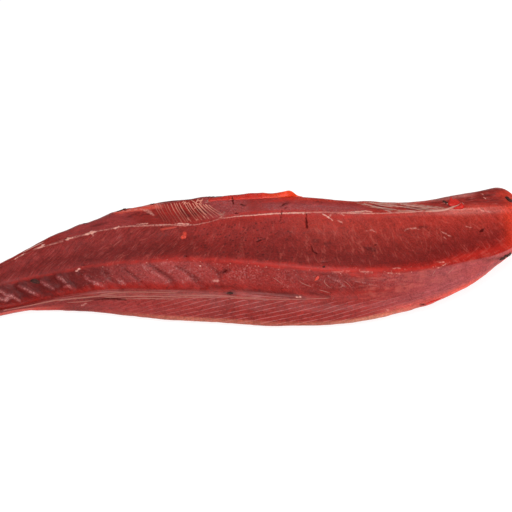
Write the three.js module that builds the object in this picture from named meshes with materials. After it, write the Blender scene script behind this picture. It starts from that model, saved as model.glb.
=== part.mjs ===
// Raw tuna loin: one long boneless quarter of the fish, lying on its skin side.
//
// Millimetres, +Z up. X runs along the loin from the thin tail end (-X) to the blunt
// head end (+X), -Y is the front with the trimmed backbone trough, and the loin rests
// on Z = 0. The origin is the middle of the bounding box, on the floor.
//
// The loin is a loft. Five edge lines run its whole length and split the cut flesh into
// the faces that a knife left:
//   back  the top back edge, where the cut flesh meets the skin side
//   pale  the upper ridge, with a seam of pale connective tissue
//   red   the lower ridge, above the trough that held the backbone
//   lip   the front lip of that trough
//   foot  the front edge, where the cut flesh turns under to the skin side

import * as THREE from "three";

// ---- driving dimensions -----------------------------------------------------------

// Cross-sections along the loin: x, then the five edge lines as [y, z].
const SECTIONS = [
  { x: -302, back: [16, 20], pale: [12, 21], red: [3, 19], lip: [-12, 13], foot: [-13, 6] },
  { x: -270, back: [21, 25], pale: [17, 27], red: [4, 24], lip: [-14, 12], foot: [-12, 6] },
  { x: -230, back: [33, 32], pale: [28, 33], red: [9, 30], lip: [-10, 13], foot: [-7, 5] },
  { x: -190, back: [50, 39], pale: [41, 40], red: [11, 34], lip: [-8, 15], foot: [-5, 4] },
  { x: -150, back: [63, 47], pale: [46, 48], red: [10, 39], lip: [-11, 20], foot: [-15, 4] },
  { x: -110, back: [70, 54], pale: [45, 54], red: [4, 44], lip: [-19, 25], foot: [-29, 4] },
  { x: -60, back: [71, 61], pale: [36, 61], red: [-6, 50], lip: [-34, 30], foot: [-46, 4] },
  { x: -10, back: [66, 66], pale: [27, 66], red: [-24, 54], lip: [-46, 30], foot: [-60, 4] },
  { x: 40, back: [57, 69], pale: [21, 69], red: [-42, 56], lip: [-59, 29], foot: [-73, 4] },
  { x: 90, back: [43, 69], pale: [14, 70], red: [-55, 54], lip: [-70, 28], foot: [-80, 5] },
  { x: 140, back: [29, 67], pale: [6, 68], red: [-62, 50], lip: [-73, 27], foot: [-80, 8] },
  { x: 190, back: [23, 65], pale: [3, 65], red: [-57, 44], lip: [-67, 27], foot: [-72, 12] },
  { x: 230, back: [25, 63], pale: [5, 62], red: [-47, 38], lip: [-55, 27], foot: [-59, 17] },
  { x: 265, back: [33, 61], pale: [6, 58], red: [-36, 33], lip: [-38, 27], foot: [-38, 21] },
  { x: 302, back: [43, 58], pale: [9, 54], red: [-14, 30], lip: [-13, 26], foot: [-11, 23] },
];

// The skin side under and behind the flesh, as shares of the width from foot to back.
const FLOOR_FRONT = 0.09; // flat floor patch, inwards from the foot line
const FLOOR_BACK = 0.16; // flat floor patch, inwards from the back line
const BELLY_OUT = 0.07; // bulge of the skin side behind the back line
const BELLY_HEIGHT = 0.48; // height of that bulge, as a share of the back line's height

// The head end lifts off the floor in a smooth curve.
const LIFT_FROM_X = 150;
const LIFT_TO_X = 302;
const LIFT = 18;

// The shelf behind the trough's lip, which fades out past the middle of the loin.
const SHELF_WIDTH = 7;
const SHELF_MOST = 0.4; // of the way up to the red ridge
const SHELF_DEPTH = 4;
const SHELF_FADE_FROM_X = -20;
const SHELF_FADE_TO_X = 60;

// Muscle lobes in the trough: slanting swellings, one for each missing vertebra.
const LOBE_PITCH = 27;
const LOBE_SLANT = 26;
const LOBE_HEIGHT = 2.2;
const LOBE_FADE_FROM_X = -70;
const LOBE_FADE_TO_X = 20;

// The hollow on the top strip, where the fin rays were pulled out.
const FIN_HOLLOW_MIDDLE_X = -28;
const FIN_HOLLOW_HALF_LENGTH = 38;
const FIN_HOLLOW_DEPTH = 2.5;
const FIN_HOLLOW_FULL = 0.4; // share of its half length at full depth

// Rounded ends: how far the closing curve reaches, and how square it is.
const HEAD_END = { length: 28, squareness: 2.4 };
const TAIL_END = { length: 12, squareness: 2.2 };

// Round the section, in order: each corner's radius, the swell of the face after it,
// and the number of segments on the corner and on that face.
const CORNERS = {
  back: { radius: 8, swell: -0.8, cornerSteps: 2, faceSteps: 4 },
  pale: { radius: 4, swell: -1.2, cornerSteps: 2, faceSteps: 6 },
  red: { radius: 5, swell: 1.2, cornerSteps: 2, faceSteps: 6 },
  shelf: { radius: 4, swell: 0, cornerSteps: 2, faceSteps: 1 },
  lip: { radius: 4, swell: 2.5, cornerSteps: 2, faceSteps: 4 },
  foot: { radius: 6, swell: 0, cornerSteps: 2, faceSteps: 1 },
  floorFront: { radius: 6, swell: 0, cornerSteps: 1, faceSteps: 5 },
  floorBack: { radius: 32, swell: 0, cornerSteps: 3, faceSteps: 1 },
  belly: { radius: 40, swell: 0, cornerSteps: 5, faceSteps: 1 },
};
const CORNER_MOST = 0.46; // a corner's curve takes at most this share of either face
const FULL_RELIEF_WIDTH = 28; // narrower faces swell less

// Ring spacing along the loin: finer where the lobes and the fin hollow are.
const FINE_FROM_X = -258;
const FINE_TO_X = 16;
const FINE_SPACING = 5.4;
const COARSE_SPACING = 11;
const HEAD_RINGS = 8;
const TAIL_RINGS = 5;

const FLESH = { color: 0x8e2c27, roughness: 0.42, metalness: 0 };

// ---- the edge lines ---------------------------------------------------------------

const smoothstep = (from, to, x) => {
  const t = Math.min(1, Math.max(0, (x - from) / (to - from)));
  return t * t * (3 - 2 * t);
};

// Value at x of the smooth curve through the knots, by cubic Hermite pieces.
function curveAt(knots, x) {
  const last = knots.length - 1;
  const slope = (i) => {
    const a = knots[Math.max(0, i - 1)];
    const b = knots[Math.min(last, i + 1)];
    return (b.value - a.value) / (b.x - a.x);
  };
  let i = 0;
  while (i < last - 1 && x > knots[i + 1].x) i += 1;
  const a = knots[i];
  const b = knots[i + 1];
  const span = b.x - a.x;
  const t = (x - a.x) / span;
  return (
    a.value * (2 * t ** 3 - 3 * t ** 2 + 1) +
    b.value * (3 * t ** 2 - 2 * t ** 3) +
    slope(i) * span * (t ** 3 - 2 * t ** 2 + t) +
    slope(i + 1) * span * (t ** 3 - t ** 2)
  );
}

const along = (line, axis, x) =>
  curveAt(SECTIONS.map((s) => ({ x: s.x, value: s[line][axis] })), x);

const edgePoint = (line, x) => new THREE.Vector2(along(line, 0, x), along(line, 1, x));

// ---- one cross-section ------------------------------------------------------------

// The corners of the section at x, as (y, z), in the order of CORNERS.
function cornersAt(x) {
  const [back, pale, red, lip, foot] = ["back", "pale", "red", "lip", "foot"].map((line) =>
    edgePoint(line, x),
  );
  const lift = LIFT * smoothstep(LIFT_FROM_X, LIFT_TO_X, x);
  const width = back.x - foot.x;

  const rise = red.clone().sub(lip).normalize();
  const outwards = new THREE.Vector2(-rise.y, rise.x);
  const depth = SHELF_DEPTH * (1 - smoothstep(SHELF_FADE_FROM_X, SHELF_FADE_TO_X, x));
  const shelfWidth = Math.min(SHELF_WIDTH, SHELF_MOST * red.distanceTo(lip));
  const shelf = lip.clone().addScaledVector(rise, shelfWidth).addScaledVector(outwards, -depth);

  const floorFront = new THREE.Vector2(foot.x + FLOOR_FRONT * width, lift);
  const floorBack = new THREE.Vector2(back.x - FLOOR_BACK * width, lift);
  const belly = new THREE.Vector2(
    back.x + BELLY_OUT * width,
    lift + BELLY_HEIGHT * (back.y - lift),
  );
  return { back, pale, red, shelf, lip, foot, floorFront, floorBack, belly };
}

// Outward relief of a face at x, where t runs from 0 to 1 across the face.
function reliefAt(face, x, t) {
  const across = Math.sin(Math.PI * t) ** 2;
  if (face === "red") {
    const fade = 1 - smoothstep(LOBE_FADE_FROM_X, LOBE_FADE_TO_X, x);
    const wave = Math.cos((2 * Math.PI * (x - LOBE_SLANT * t)) / LOBE_PITCH);
    return LOBE_HEIGHT * fade * wave * across;
  }
  if (face === "back") {
    const off = Math.abs(x - FIN_HOLLOW_MIDDLE_X) / FIN_HOLLOW_HALF_LENGTH;
    return -FIN_HOLLOW_DEPTH * (1 - smoothstep(FIN_HOLLOW_FULL, 1, off)) * across;
  }
  return 0;
}

// The closed outline of the section at x, as (y, z) points, anticlockwise from +X.
function outlineAt(x) {
  const corners = cornersAt(x);
  const names = Object.keys(CORNERS);
  const points = [];

  names.forEach((name, i) => {
    const before = corners[names.at(i - 1)];
    const corner = corners[name];
    const after = corners[names[(i + 1) % names.length]];
    const afterNext = corners[names[(i + 2) % names.length]];
    const { radius, swell, cornerSteps, faceSteps } = CORNERS[name];
    const nextRadius = CORNERS[names[(i + 1) % names.length]].radius;

    // A corner's curve starts and ends at its radius from it, short of the next one.
    const trim = (at, a, b, r) =>
      Math.min(r, CORNER_MOST * at.distanceTo(a), CORNER_MOST * at.distanceTo(b));
    const here = trim(corner, before, after, radius);
    const there = trim(after, corner, afterNext, nextRadius);

    const arriving = before.clone().sub(corner).setLength(here).add(corner);
    const leaving = after.clone().sub(corner).setLength(here).add(corner);
    const faceEnd = corner.clone().sub(after).setLength(there).add(after);
    const round = new THREE.QuadraticBezierCurve(arriving, corner, leaving);
    for (let k = 0; k < cornerSteps; k += 1) points.push(round.getPoint(k / cornerSteps));

    const run = faceEnd.clone().sub(leaving);
    const outwards = new THREE.Vector2(run.y, -run.x).normalize();
    const strength = Math.min(1, run.length() / FULL_RELIEF_WIDTH);
    for (let k = 0; k < faceSteps; k += 1) {
      const t = k / faceSteps;
      const out = strength * (swell * Math.sin(Math.PI * t) ** 2 + reliefAt(name, x, t));
      points.push(leaving.clone().addScaledVector(run, t).addScaledVector(outwards, out));
    }
  });
  return points;
}

// ---- the loft ---------------------------------------------------------------------

const FIRST_X = SECTIONS[0].x;
const LAST_X = SECTIONS.at(-1).x;

// The x of each ring with the share of full size that it has, from tail to head.
function ringPlaces() {
  const closing = (u, squareness) => (1 - u ** squareness) ** (1 / squareness);
  const places = [];
  for (let k = 1; k <= TAIL_RINGS; k += 1) {
    const u = Math.cos((k / (TAIL_RINGS + 1)) * (Math.PI / 2));
    places.push({ x: FIRST_X + TAIL_END.length * (1 - u), size: closing(u, TAIL_END.squareness) });
  }
  const bodyFrom = FIRST_X + TAIL_END.length;
  const bodyTo = LAST_X - HEAD_END.length;
  const stretches = [
    { from: bodyFrom, to: FINE_FROM_X, spacing: COARSE_SPACING },
    { from: FINE_FROM_X, to: FINE_TO_X, spacing: FINE_SPACING },
    { from: FINE_TO_X, to: bodyTo, spacing: COARSE_SPACING },
  ];
  stretches.forEach(({ from, to, spacing }) => {
    const steps = Math.round((to - from) / spacing);
    for (let k = 0; k < steps; k += 1) places.push({ x: from + ((to - from) * k) / steps, size: 1 });
  });
  places.push({ x: bodyTo, size: 1 });
  for (let k = 1; k <= HEAD_RINGS; k += 1) {
    const u = Math.sin((k / (HEAD_RINGS + 1)) * (Math.PI / 2));
    places.push({ x: bodyTo + HEAD_END.length * u, size: closing(u, HEAD_END.squareness) });
  }
  return places;
}

const middleOf = (points) =>
  points.reduce((sum, p) => sum.add(p), new THREE.Vector2()).divideScalar(points.length);

function loftGeometry() {
  const positions = [];
  const index = [];
  const rings = ringPlaces().map(({ x, size }) => {
    const outline = outlineAt(x);
    const middle = middleOf(outline);
    const first = positions.length / 3;
    outline.forEach((p) => {
      const q = p.clone().sub(middle).multiplyScalar(size).add(middle);
      positions.push(x, q.x, q.y);
    });
    return { first, count: outline.length, middle };
  });

  rings.slice(1).forEach((ring, i) => {
    const before = rings[i];
    for (let j = 0; j < ring.count; j += 1) {
      const next = (j + 1) % ring.count;
      const [a, b] = [before.first + j, before.first + next];
      const [d, c] = [ring.first + j, ring.first + next];
      index.push(a, b, c, a, c, d);
    }
  });

  const close = (ring, x, facesHead) => {
    const tip = positions.length / 3;
    positions.push(x, ring.middle.x, ring.middle.y);
    for (let j = 0; j < ring.count; j += 1) {
      const [a, b] = [ring.first + j, ring.first + ((j + 1) % ring.count)];
      if (facesHead) index.push(tip, a, b);
      else index.push(tip, b, a);
    }
  };
  close(rings[0], FIRST_X, false);
  close(rings.at(-1), LAST_X, true);

  const geometry = new THREE.BufferGeometry();
  geometry.setAttribute("position", new THREE.Float32BufferAttribute(positions, 3));
  geometry.setIndex(index);
  geometry.computeVertexNormals();
  return geometry;
}

// Moves a geometry so that the origin is the middle of its bounding box, on its floor.
function standOnOrigin(geometry) {
  geometry.computeBoundingBox();
  const { min, max } = geometry.boundingBox;
  return geometry.translate(-(min.x + max.x) / 2, -(min.y + max.y) / 2, -min.z);
}

function makeLoin() {
  const mesh = new THREE.Mesh(
    standOnOrigin(loftGeometry()),
    new THREE.MeshStandardMaterial(FLESH),
  );
  mesh.name = "tuna_loin";
  return mesh;
}

const part = new THREE.Group();
part.add(makeLoin());

export default part;
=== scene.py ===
"""Raw tuna loin: its fine surface, small pieces, materials, light and camera.

The surface is a loft like the CAD solid's, in the same frame, but fine enough to carry
lobes, pits, slits and fibres. Shapes are worked out in millimetres and become metres
when a mesh is made.
"""

import math

import bpy
import numpy as np
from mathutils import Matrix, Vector
from mathutils.bvhtree import BVHTree
from mathutils.kdtree import KDTree


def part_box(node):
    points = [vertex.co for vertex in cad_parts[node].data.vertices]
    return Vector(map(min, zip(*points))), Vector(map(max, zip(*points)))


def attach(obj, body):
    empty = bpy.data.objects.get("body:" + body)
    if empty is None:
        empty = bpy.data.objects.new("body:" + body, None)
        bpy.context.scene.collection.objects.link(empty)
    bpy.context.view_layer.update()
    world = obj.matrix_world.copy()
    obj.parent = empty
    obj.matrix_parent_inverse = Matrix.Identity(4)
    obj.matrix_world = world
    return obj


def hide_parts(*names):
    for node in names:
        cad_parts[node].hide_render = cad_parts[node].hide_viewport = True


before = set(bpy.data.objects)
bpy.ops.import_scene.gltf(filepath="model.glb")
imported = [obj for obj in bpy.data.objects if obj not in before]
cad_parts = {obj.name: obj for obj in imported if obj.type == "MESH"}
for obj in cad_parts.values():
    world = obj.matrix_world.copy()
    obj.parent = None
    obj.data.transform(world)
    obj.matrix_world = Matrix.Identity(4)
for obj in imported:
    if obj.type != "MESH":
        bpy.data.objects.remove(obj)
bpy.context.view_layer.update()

MM = 0.001
SEED = 7

# ---- driving dimensions, in millimetres ---------------------------------------------

# x along the loin, then (y, z) of the five edge lines, as in the CAD solid.
SECTIONS = [
    # x,   back,     pale,     red,       lip,       foot
    (-302, (16, 20), (12, 21), (3, 19), (-12, 13), (-13, 6)),
    (-270, (21, 25), (17, 27), (4, 24), (-14, 12), (-12, 6)),
    (-230, (33, 32), (28, 33), (9, 30), (-10, 13), (-7, 5)),
    (-190, (50, 39), (41, 40), (11, 34), (-8, 15), (-5, 4)),
    (-150, (63, 47), (46, 48), (10, 39), (-11, 20), (-15, 4)),
    (-110, (70, 54), (45, 54), (4, 44), (-19, 25), (-29, 4)),
    (-60, (71, 61), (36, 61), (-6, 50), (-34, 30), (-46, 4)),
    (-10, (66, 66), (27, 66), (-24, 54), (-46, 30), (-60, 4)),
    (40, (57, 69), (21, 69), (-42, 56), (-59, 29), (-73, 4)),
    (90, (43, 69), (14, 70), (-55, 54), (-70, 28), (-80, 5)),
    (140, (29, 67), (6, 68), (-62, 50), (-73, 27), (-80, 8)),
    (190, (23, 65), (3, 65), (-57, 44), (-67, 27), (-72, 12)),
    (230, (25, 63), (5, 62), (-47, 38), (-55, 27), (-59, 17)),
    (265, (33, 61), (6, 58), (-36, 33), (-38, 27), (-38, 21)),
    (302, (43, 58), (9, 54), (-14, 30), (-13, 26), (-11, 23)),
]
EDGES = ("back", "pale", "red", "lip", "foot")
FIRST_X, LAST_X = SECTIONS[0][0], SECTIONS[-1][0]

# The skin side, as shares of the width from foot to back.
FLOOR_FRONT = 0.09
FLOOR_BACK = 0.16
BELLY_OUT = 0.07
BELLY_HEIGHT = 0.48
LIFT_X = (150, 302)
LIFT = 18

# The shelf behind the trough's lip.
SHELF_WIDTH = 7
SHELF_MOST = 0.4
SHELF_DEPTH = 4
SHELF_FADE_X = (-20, 60)
SHELF_SHARES = ((-302, 0.3), (-200, 0.35), (-130, 1))  # of its width, towards the tail

# Round the section: corner radius, swell of the face after it, and the steps of both.
CORNERS = {
    "back": (8, -0.8, 8, 26),
    "pale": (4, -1.2, 6, 56),
    "red": (5, 1.2, 6, 30),
    "shelf": (4, 0, 4, 3),
    "lip": (4, 2.5, 6, 22),
    "foot": (6, 0, 4, 2),
    "floor_front": (6, 0, 2, 11),
    "floor_back": (32, 0, 8, 1),
    "belly": (40, 0, 12, 1),
}
CORNER_MOST = 0.46
FULL_RELIEF_WIDTH = 28

# Rounded ends: reach and squareness, and the rings that make each.
HEAD_END = (28, 2.4, 16)
TAIL_END = (12, 2.2, 8)
# Stretches of rings between the ends: from x, to x, spacing.
RING_STRETCHES = ((-290, -240, 2.6), (-240, 274, 1.25))

# Muscle lobes in the trough: pitch, slant and height where the photo doesn't show them.
LOBE_PITCH = 18
LOBE_SLANT = 26
LOBE_HEIGHT = 2
LOBE_WANDER = 0.16  # of the pitch
LOBE_WANDER_SIZE = 22
LOBE_FADE_X = (-236, -224)

# The hollow where the fin rays were, and the swollen lobe beside it.
FIN_HOLLOW_X = (-50, -30)
FIN_HOLLOW_DEPTH = 1.8
FIN_HOLLOW_FADE = 16
FIN_LOBE_X = (-110, -88)
FIN_LOBE_HEIGHT = 1.6

# Small swells of the top edge: x, reach along it, and height.
EDGE_SWELLS = (
    (-168, 16, 1.2), (-140, 8, 1.1), (-98, 14, 1.8), (-14, 8, 1.2), (145, 12, 1.2), (232, 24, 1.8)
)

# The same on the foot, where the lower edge is torn.
FOOT_SWELLS = ((163, 4, 0.8), (183, 10, 2.0))

# Unevenness, as (height, size, octaves) of noise: of cut flesh, and of the skin side.
CUT_BUMPS = ((0.4, 26, 1), (0.2, 7, 2))
SKIN_BUMPS = ((0.8, 60, 1), (0.25, 12, 2))

# The relief fades out over this much at the tail and at the head.
RELIEF_FADE = (20, 12)

# Muscle layers on the lower face: lines for each millimetre along x, and their spacing down it.
LAYER_RATES = ((-302, 1 / 15), (90, 1 / 15), (160, 1 / 50))
LAYER_SPACINGS = ((-302, 4.3), (90, 4.3), (160, 3.6))
LAYER_STRENGTHS = (
    (-230, 0), (-120, 0.08), (-40, 0.35), (10, 0.52), (100, 0.45), (160, 0.25), (260, 0.15)
)

# The zigzag muscle layers on the skin side.
ZIGZAG_PITCH = 12
ZIGZAG_REACH = 22
ZIGZAG_MIDDLE = 7.4

# The grain: its slope on the upper face and in the trough, and how the lengthwise grain
# of the top strip and of the lower face rises.
GRAIN_SLOPES = ((-230, -1.3), (-60, -0.9), (20, -0.1), (130, 0.35), (280, 0.6))
TROUGH_SLOPE = 0.9
STRIP_RISE, LOWER_RISE = 0.12, -0.28

# Under the blunt head end the grain runs lengthwise, and spans this width on one face.
BLUNT_X = 118
BLUNT_GRAIN = 22

# The pale seam on the upper ridge: half width and strength along it.
SEAM_WIDTHS = (
    (-302, 0.2), (-230, 0.3), (-60, 0.3), (-20, 0.35), (0, 0.4), (26, 0.6), (32, 0.8), (80, 0.8),
    (120, 0.9), (140, 0.6), (205, 0.6), (235, 1.2), (262, 1.4), (290, 0.4),
)
SEAM_STRENGTHS = (
    (-302, 0.1), (-200, 0.14), (-115, 0.28), (-90, 0.7), (-45, 0.85), (-15, 0.4), (0, 0.5), (25, 1.0),
    (74, 1.0), (84, 0.5), (112, 0.45), (122, 0.8), (142, 0.75), (152, 0.55), (200, 0.55), (235, 0.5),
    (250, 0.2), (290, 0),
)
# How far the seam dips under the pale ridge, most of all below the comb.
SEAM_DROPS = (
    (-90, 0), (-54, 2), (-40, 5.5), (-33, 5.8), (-25, 5), (-15, 3.4), (-8, 1.3), (-2, 0), (10, -0.6),
    (40, 0), (205, 0), (230, 1.4), (250, 1.8), (270, 1.2), (290, 0),
)

# ---- the photo's camera ---------------------------------------------------------------

CAMERA_AZIMUTH = -10.5  # degrees, from straight in front
CAMERA_ELEVATION = 40
CAMERA_DISTANCE = 1500
CAMERA_TARGET = np.array((26, -1.7, 38))
PHOTO_WIDTH = 512  # pixels
PHOTO_SCALE = 0.975  # millimetres for each pixel at the target
SENSOR_WIDTH = 36


def camera_axes():
    """Unit vectors to the right, up and back towards the camera."""
    azimuth, elevation = math.radians(CAMERA_AZIMUTH), math.radians(CAMERA_ELEVATION)
    back = np.array(
        (
            math.sin(azimuth) * math.cos(elevation),
            -math.cos(azimuth) * math.cos(elevation),
            math.sin(elevation),
        )
    )
    right = np.array((math.cos(azimuth), math.sin(azimuth), 0))
    return right, np.cross(back, right), back


RIGHT, UP, BACK = camera_axes()
CAMERA_PLACE = CAMERA_TARGET + BACK * CAMERA_DISTANCE
FOCAL_PIXELS = CAMERA_DISTANCE / PHOTO_SCALE


def pixel_ray(u, v):
    """Direction from the camera through a pixel of the photo."""
    half = PHOTO_WIDTH / 2
    ray = -BACK + RIGHT * (u - half) / FOCAL_PIXELS + UP * (half - v) / FOCAL_PIXELS
    return ray / np.linalg.norm(ray)


# ---- small maths ----------------------------------------------------------------------


def smooth(start, end, x):
    """0 before start and 1 after end, with a smooth step between them."""
    t = np.clip((x - start) / (end - start), 0, 1)
    return t * t * (3 - 2 * t)


def bump(start, end, fade, x):
    """1 from start to end, fading to 0 within fade outside them."""
    return smooth(start - fade, start, x) * (1 - smooth(end, end + fade, x))


def along(stops, x):
    """Value at x of straight lines through (x, value) stops."""
    return np.interp(x, [s[0] for s in stops], [s[1] for s in stops])


def bell(middle, reach, x):
    """1 at the middle, falling away smoothly on both sides."""
    return np.exp(-(((x - middle) / reach) ** 2))


def unit(v):
    """Vectors made 1 long."""
    length = np.linalg.norm(v, axis=-1, keepdims=True)
    return v / np.maximum(length, 1e-9)


LATTICE_CELLS = 32
OCTAVE_SHIFT = 17.3  # cells, so that the octaves don't line up
NOISE_GAIN = 1.6
LATTICE = np.random.default_rng(SEED).uniform(-1, 1, (LATTICE_CELLS,) * 3)


def noise(points, size, octaves=1):
    """Smooth noise of about -1 to 1 at each point, with bumps of the given size."""
    total, weight = 0, 0
    for octave in range(octaves):
        p = np.asarray(points, float) / size * 2**octave + OCTAVE_SHIFT * octave
        cell = np.floor(p).astype(int)
        f = p - cell
        f = f * f * (3 - 2 * f)
        value = 0
        for corner in np.ndindex(2, 2, 2):
            share = np.prod(np.where(corner, f, 1 - f), axis=-1)
            i, j, k = np.moveaxis((cell + corner) % LATTICE_CELLS, -1, 0)
            value = value + share * LATTICE[i, j, k]
        total = total + value / 2**octave
        weight += 1 / 2**octave
    return total / weight * NOISE_GAIN


# ---- the loft -------------------------------------------------------------------------

STATIONS = np.array([s[0] for s in SECTIONS], float)


def edge_line(name, x):
    """(y, z) of an edge line at each x, on a smooth curve through the sections."""
    values = np.array([s[1 + EDGES.index(name)] for s in SECTIONS], float)
    slopes = np.gradient(values, axis=0) / np.gradient(STATIONS)[:, None]
    i = np.clip(np.searchsorted(STATIONS, x) - 1, 0, len(STATIONS) - 2)
    span = (STATIONS[i + 1] - STATIONS[i])[:, None]
    t = ((x - STATIONS[i]) / span[:, 0])[:, None]
    return (
        values[i] * (2 * t**3 - 3 * t**2 + 1)
        + values[i + 1] * (3 * t**2 - 2 * t**3)
        + slopes[i] * span * (t**3 - 2 * t**2 + t)
        + slopes[i + 1] * span * (t**3 - t**2)
    )


def section_corners(x):
    """The corners of the section at each x, as (y, z), in the order of CORNERS."""
    back, pale, red, lip, foot = (edge_line(name, x) for name in EDGES)
    lift = LIFT * smooth(*LIFT_X, x)
    width = back[:, 0] - foot[:, 0]
    rise = unit(red - lip)
    outwards = np.stack((-rise[:, 1], rise[:, 0]), 1)
    depth = SHELF_DEPTH * (1 - smooth(*SHELF_FADE_X, x))
    shelf_width = np.minimum(SHELF_WIDTH, SHELF_MOST * np.linalg.norm(red - lip, axis=1))
    shelf_width = shelf_width * along(SHELF_SHARES, x)
    belly_height = lift + BELLY_HEIGHT * (back[:, 1] - lift)
    return {
        "back": back,
        "pale": pale,
        "red": red,
        "shelf": lip + rise * shelf_width[:, None] - outwards * depth[:, None],
        "lip": lip,
        "foot": foot,
        "floor_front": np.stack((foot[:, 0] + FLOOR_FRONT * width, lift), 1),
        "floor_back": np.stack((back[:, 0] - FLOOR_BACK * width, lift), 1),
        "belly": np.stack((back[:, 0] + BELLY_OUT * width, belly_height), 1),
    }


def section_outlines(x):
    """Closed outlines (y, z) at each x, and the column at the middle of each corner."""
    corners = section_corners(x)
    names = list(CORNERS)
    columns, middles = [], []

    def reach(at, a, b, radius):
        """How far a rounded corner reaches along its faces."""
        nearest = np.minimum(np.linalg.norm(at - a, axis=1), np.linalg.norm(at - b, axis=1))
        return np.minimum(radius, CORNER_MOST * nearest)[:, None]

    for i, name in enumerate(names):
        before, here, after, beyond = (corners[names[(i + k) % len(names)]] for k in (-1, 0, 1, 2))
        radius, swell, corner_steps, face_steps = CORNERS[name]
        next_radius = CORNERS[names[(i + 1) % len(names)]][0]
        arriving = here + unit(before - here) * reach(here, before, after, radius)
        leaving = here + unit(after - here) * reach(here, before, after, radius)
        face_end = after + unit(here - after) * reach(after, here, beyond, next_radius)
        middles.append(len(columns) + corner_steps // 2)
        for t in np.arange(corner_steps) / corner_steps:
            columns.append(arriving * (1 - t) ** 2 + here * 2 * t * (1 - t) + leaving * t**2)
        run = face_end - leaving
        length = np.linalg.norm(run, axis=1, keepdims=True)
        outwards = np.stack((run[:, 1], -run[:, 0]), 1) / length
        strength = np.minimum(1, length / FULL_RELIEF_WIDTH)
        for t in np.arange(face_steps) / face_steps:
            swollen = outwards * strength * swell * math.sin(math.pi * t) ** 2
            columns.append(leaving + run * t + swollen)
    return np.stack(columns, 1), middles


def ring_places():
    """x of each ring and its share of full size, from the tail tip to the head tip."""
    x, size = [], []
    reach, square, rings = TAIL_END
    for k in range(1, rings + 1):
        u = math.cos(k / (rings + 1) * math.pi / 2)
        x.append(FIRST_X + reach * (1 - u))
        size.append((1 - u**square) ** (1 / square))
    for start, end, spacing in RING_STRETCHES:
        steps = round((end - start) / spacing)
        x.extend(start + (end - start) * np.arange(steps) / steps)
        size.extend([1] * steps)
    reach, square, rings = HEAD_END
    for k in range(rings + 1):
        u = math.sin(k / (rings + 1) * math.pi / 2)
        x.append(LAST_X - reach + reach * u)
        size.append((1 - u**square) ** (1 / square))
    return np.array(x), np.array(size)


class Loft:
    """The loin's surface as a grid of rings, with coordinates that follow the faces.

    face counts the corners round the section: 0 at the back edge, 1 at the pale ridge,
    2 at the red ridge, 3 at the shelf, 4 at the lip, 5 at the foot and so on, with the
    faces' points in between. off[name] is the distance down from an edge line.
    """

    def __init__(self):
        x, size = ring_places()
        outline, middles = section_outlines(x)
        centre = outline.mean(1, keepdims=True)
        outline = centre + (outline - centre) * size[:, None, None]
        self.rings, self.columns = outline.shape[:2]
        self.x = np.repeat(x[:, None], self.columns, 1)
        self.points = np.concatenate((self.x[..., None], outline), 2)
        self.tips = [np.array((FIRST_X, *centre[0, 0])), np.array((LAST_X, *centre[-1, 0]))]
        self._centre_on_frame()
        self._measure(middles)
        self.rest = self.points.copy()

    def _centre_on_frame(self):
        """Moves the surface across, so that its box and the CAD node's share one middle."""
        low, high = (np.array(c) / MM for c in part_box("tuna_loin"))
        shift = (low + high) / 2 - (self.points.min((0, 1)) + self.points.max((0, 1))) / 2
        shift[0] = shift[2] = 0
        self.points = self.points + shift
        self.tips = [tip + shift for tip in self.tips]

    def _measure(self, middles):
        """Works out face and off from the arc length round each ring."""
        outline = self.points[:, :, 1:]
        step = np.linalg.norm(np.roll(outline, -1, 1) - outline, axis=2)
        start = np.concatenate((np.zeros((self.rings, 1)), np.cumsum(step, 1)), 1)
        whole = start[:, -1:]
        arc = start[:, :-1]
        first = arc[:, middles[0]][:, None]
        arc = np.where(arc < first, arc + whole, arc) - first
        marks = np.concatenate((arc[:, middles], whole), 1)
        self.face = np.stack([np.interp(a, m, np.arange(m.size)) for a, m in zip(arc, marks)])
        self.off = {name: arc - marks[:, [i]] for i, name in enumerate(CORNERS)}

    def normals(self):
        along_x = np.gradient(self.points, axis=0)
        around = np.roll(self.points, -1, 1) - np.roll(self.points, 1, 1)
        return unit(np.cross(around, along_x))

    def raise_by(self, height):
        self.points = self.points + self.normals() * height[..., None]

    def on_face(self, low, high, soft=0.12):
        """1 on the faces between two corners, fading over a share of a face outside them."""
        return bump(low, high, soft, self.face)

    def arch(self, corner, power):
        """1 in the middle of the face after a corner, and 0 at its edges and beyond."""
        return np.sin(np.pi * np.clip(self.face - corner, 0, 1)) ** power

    def level(self, *stops):
        """Value along the loin, on straight lines through (x, value) stops."""
        return along(stops, self.x)

    def stretch(self, start, end, fade):
        """1 from start to end along the loin, fading to 0 within fade outside them."""
        return bump(start, end, fade, self.x)

    def swells(self, stops):
        """Small swells along the loin: (x, reach, height) of each."""
        return sum(rise * bell(middle, reach, self.x) for middle, reach, rise in stops)

    def faces(self):
        """The quads between the rings, and the triangles that close both tips."""
        here = np.arange(self.rings * self.columns).reshape(self.rings, self.columns)
        beside = np.roll(here, -1, 1)
        quads = np.stack((here[:-1], beside[:-1], beside[1:], here[1:]), -1).reshape(-1, 4)
        tail, head = here.size, here.size + 1
        caps = [(tail, b, a) for a, b in zip(here[0].tolist(), beside[0].tolist())]
        caps += [(head, a, b) for a, b in zip(here[-1].tolist(), beside[-1].tolist())]
        return quads.tolist() + caps

    def vertices(self):
        return np.concatenate((self.points.reshape(-1, 3), self.tips))

    def per_vertex(self, values):
        """Grid values as one row for each vertex, with the tips taking their ring's mean."""
        rings = values.reshape(self.rings, self.columns, -1)
        return np.concatenate((rings.reshape(self.rings * self.columns, -1), rings[[0, -1]].mean(1)))

    def tree(self):
        return BVHTree.FromPolygons(self.vertices().tolist(), self.faces())


MIDDLE_ROW = 250  # the photo's row through the middle of the loin
EDGE_TRIES = 16  # half pixels from a pixel beside the loin to its edge, at most


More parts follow.
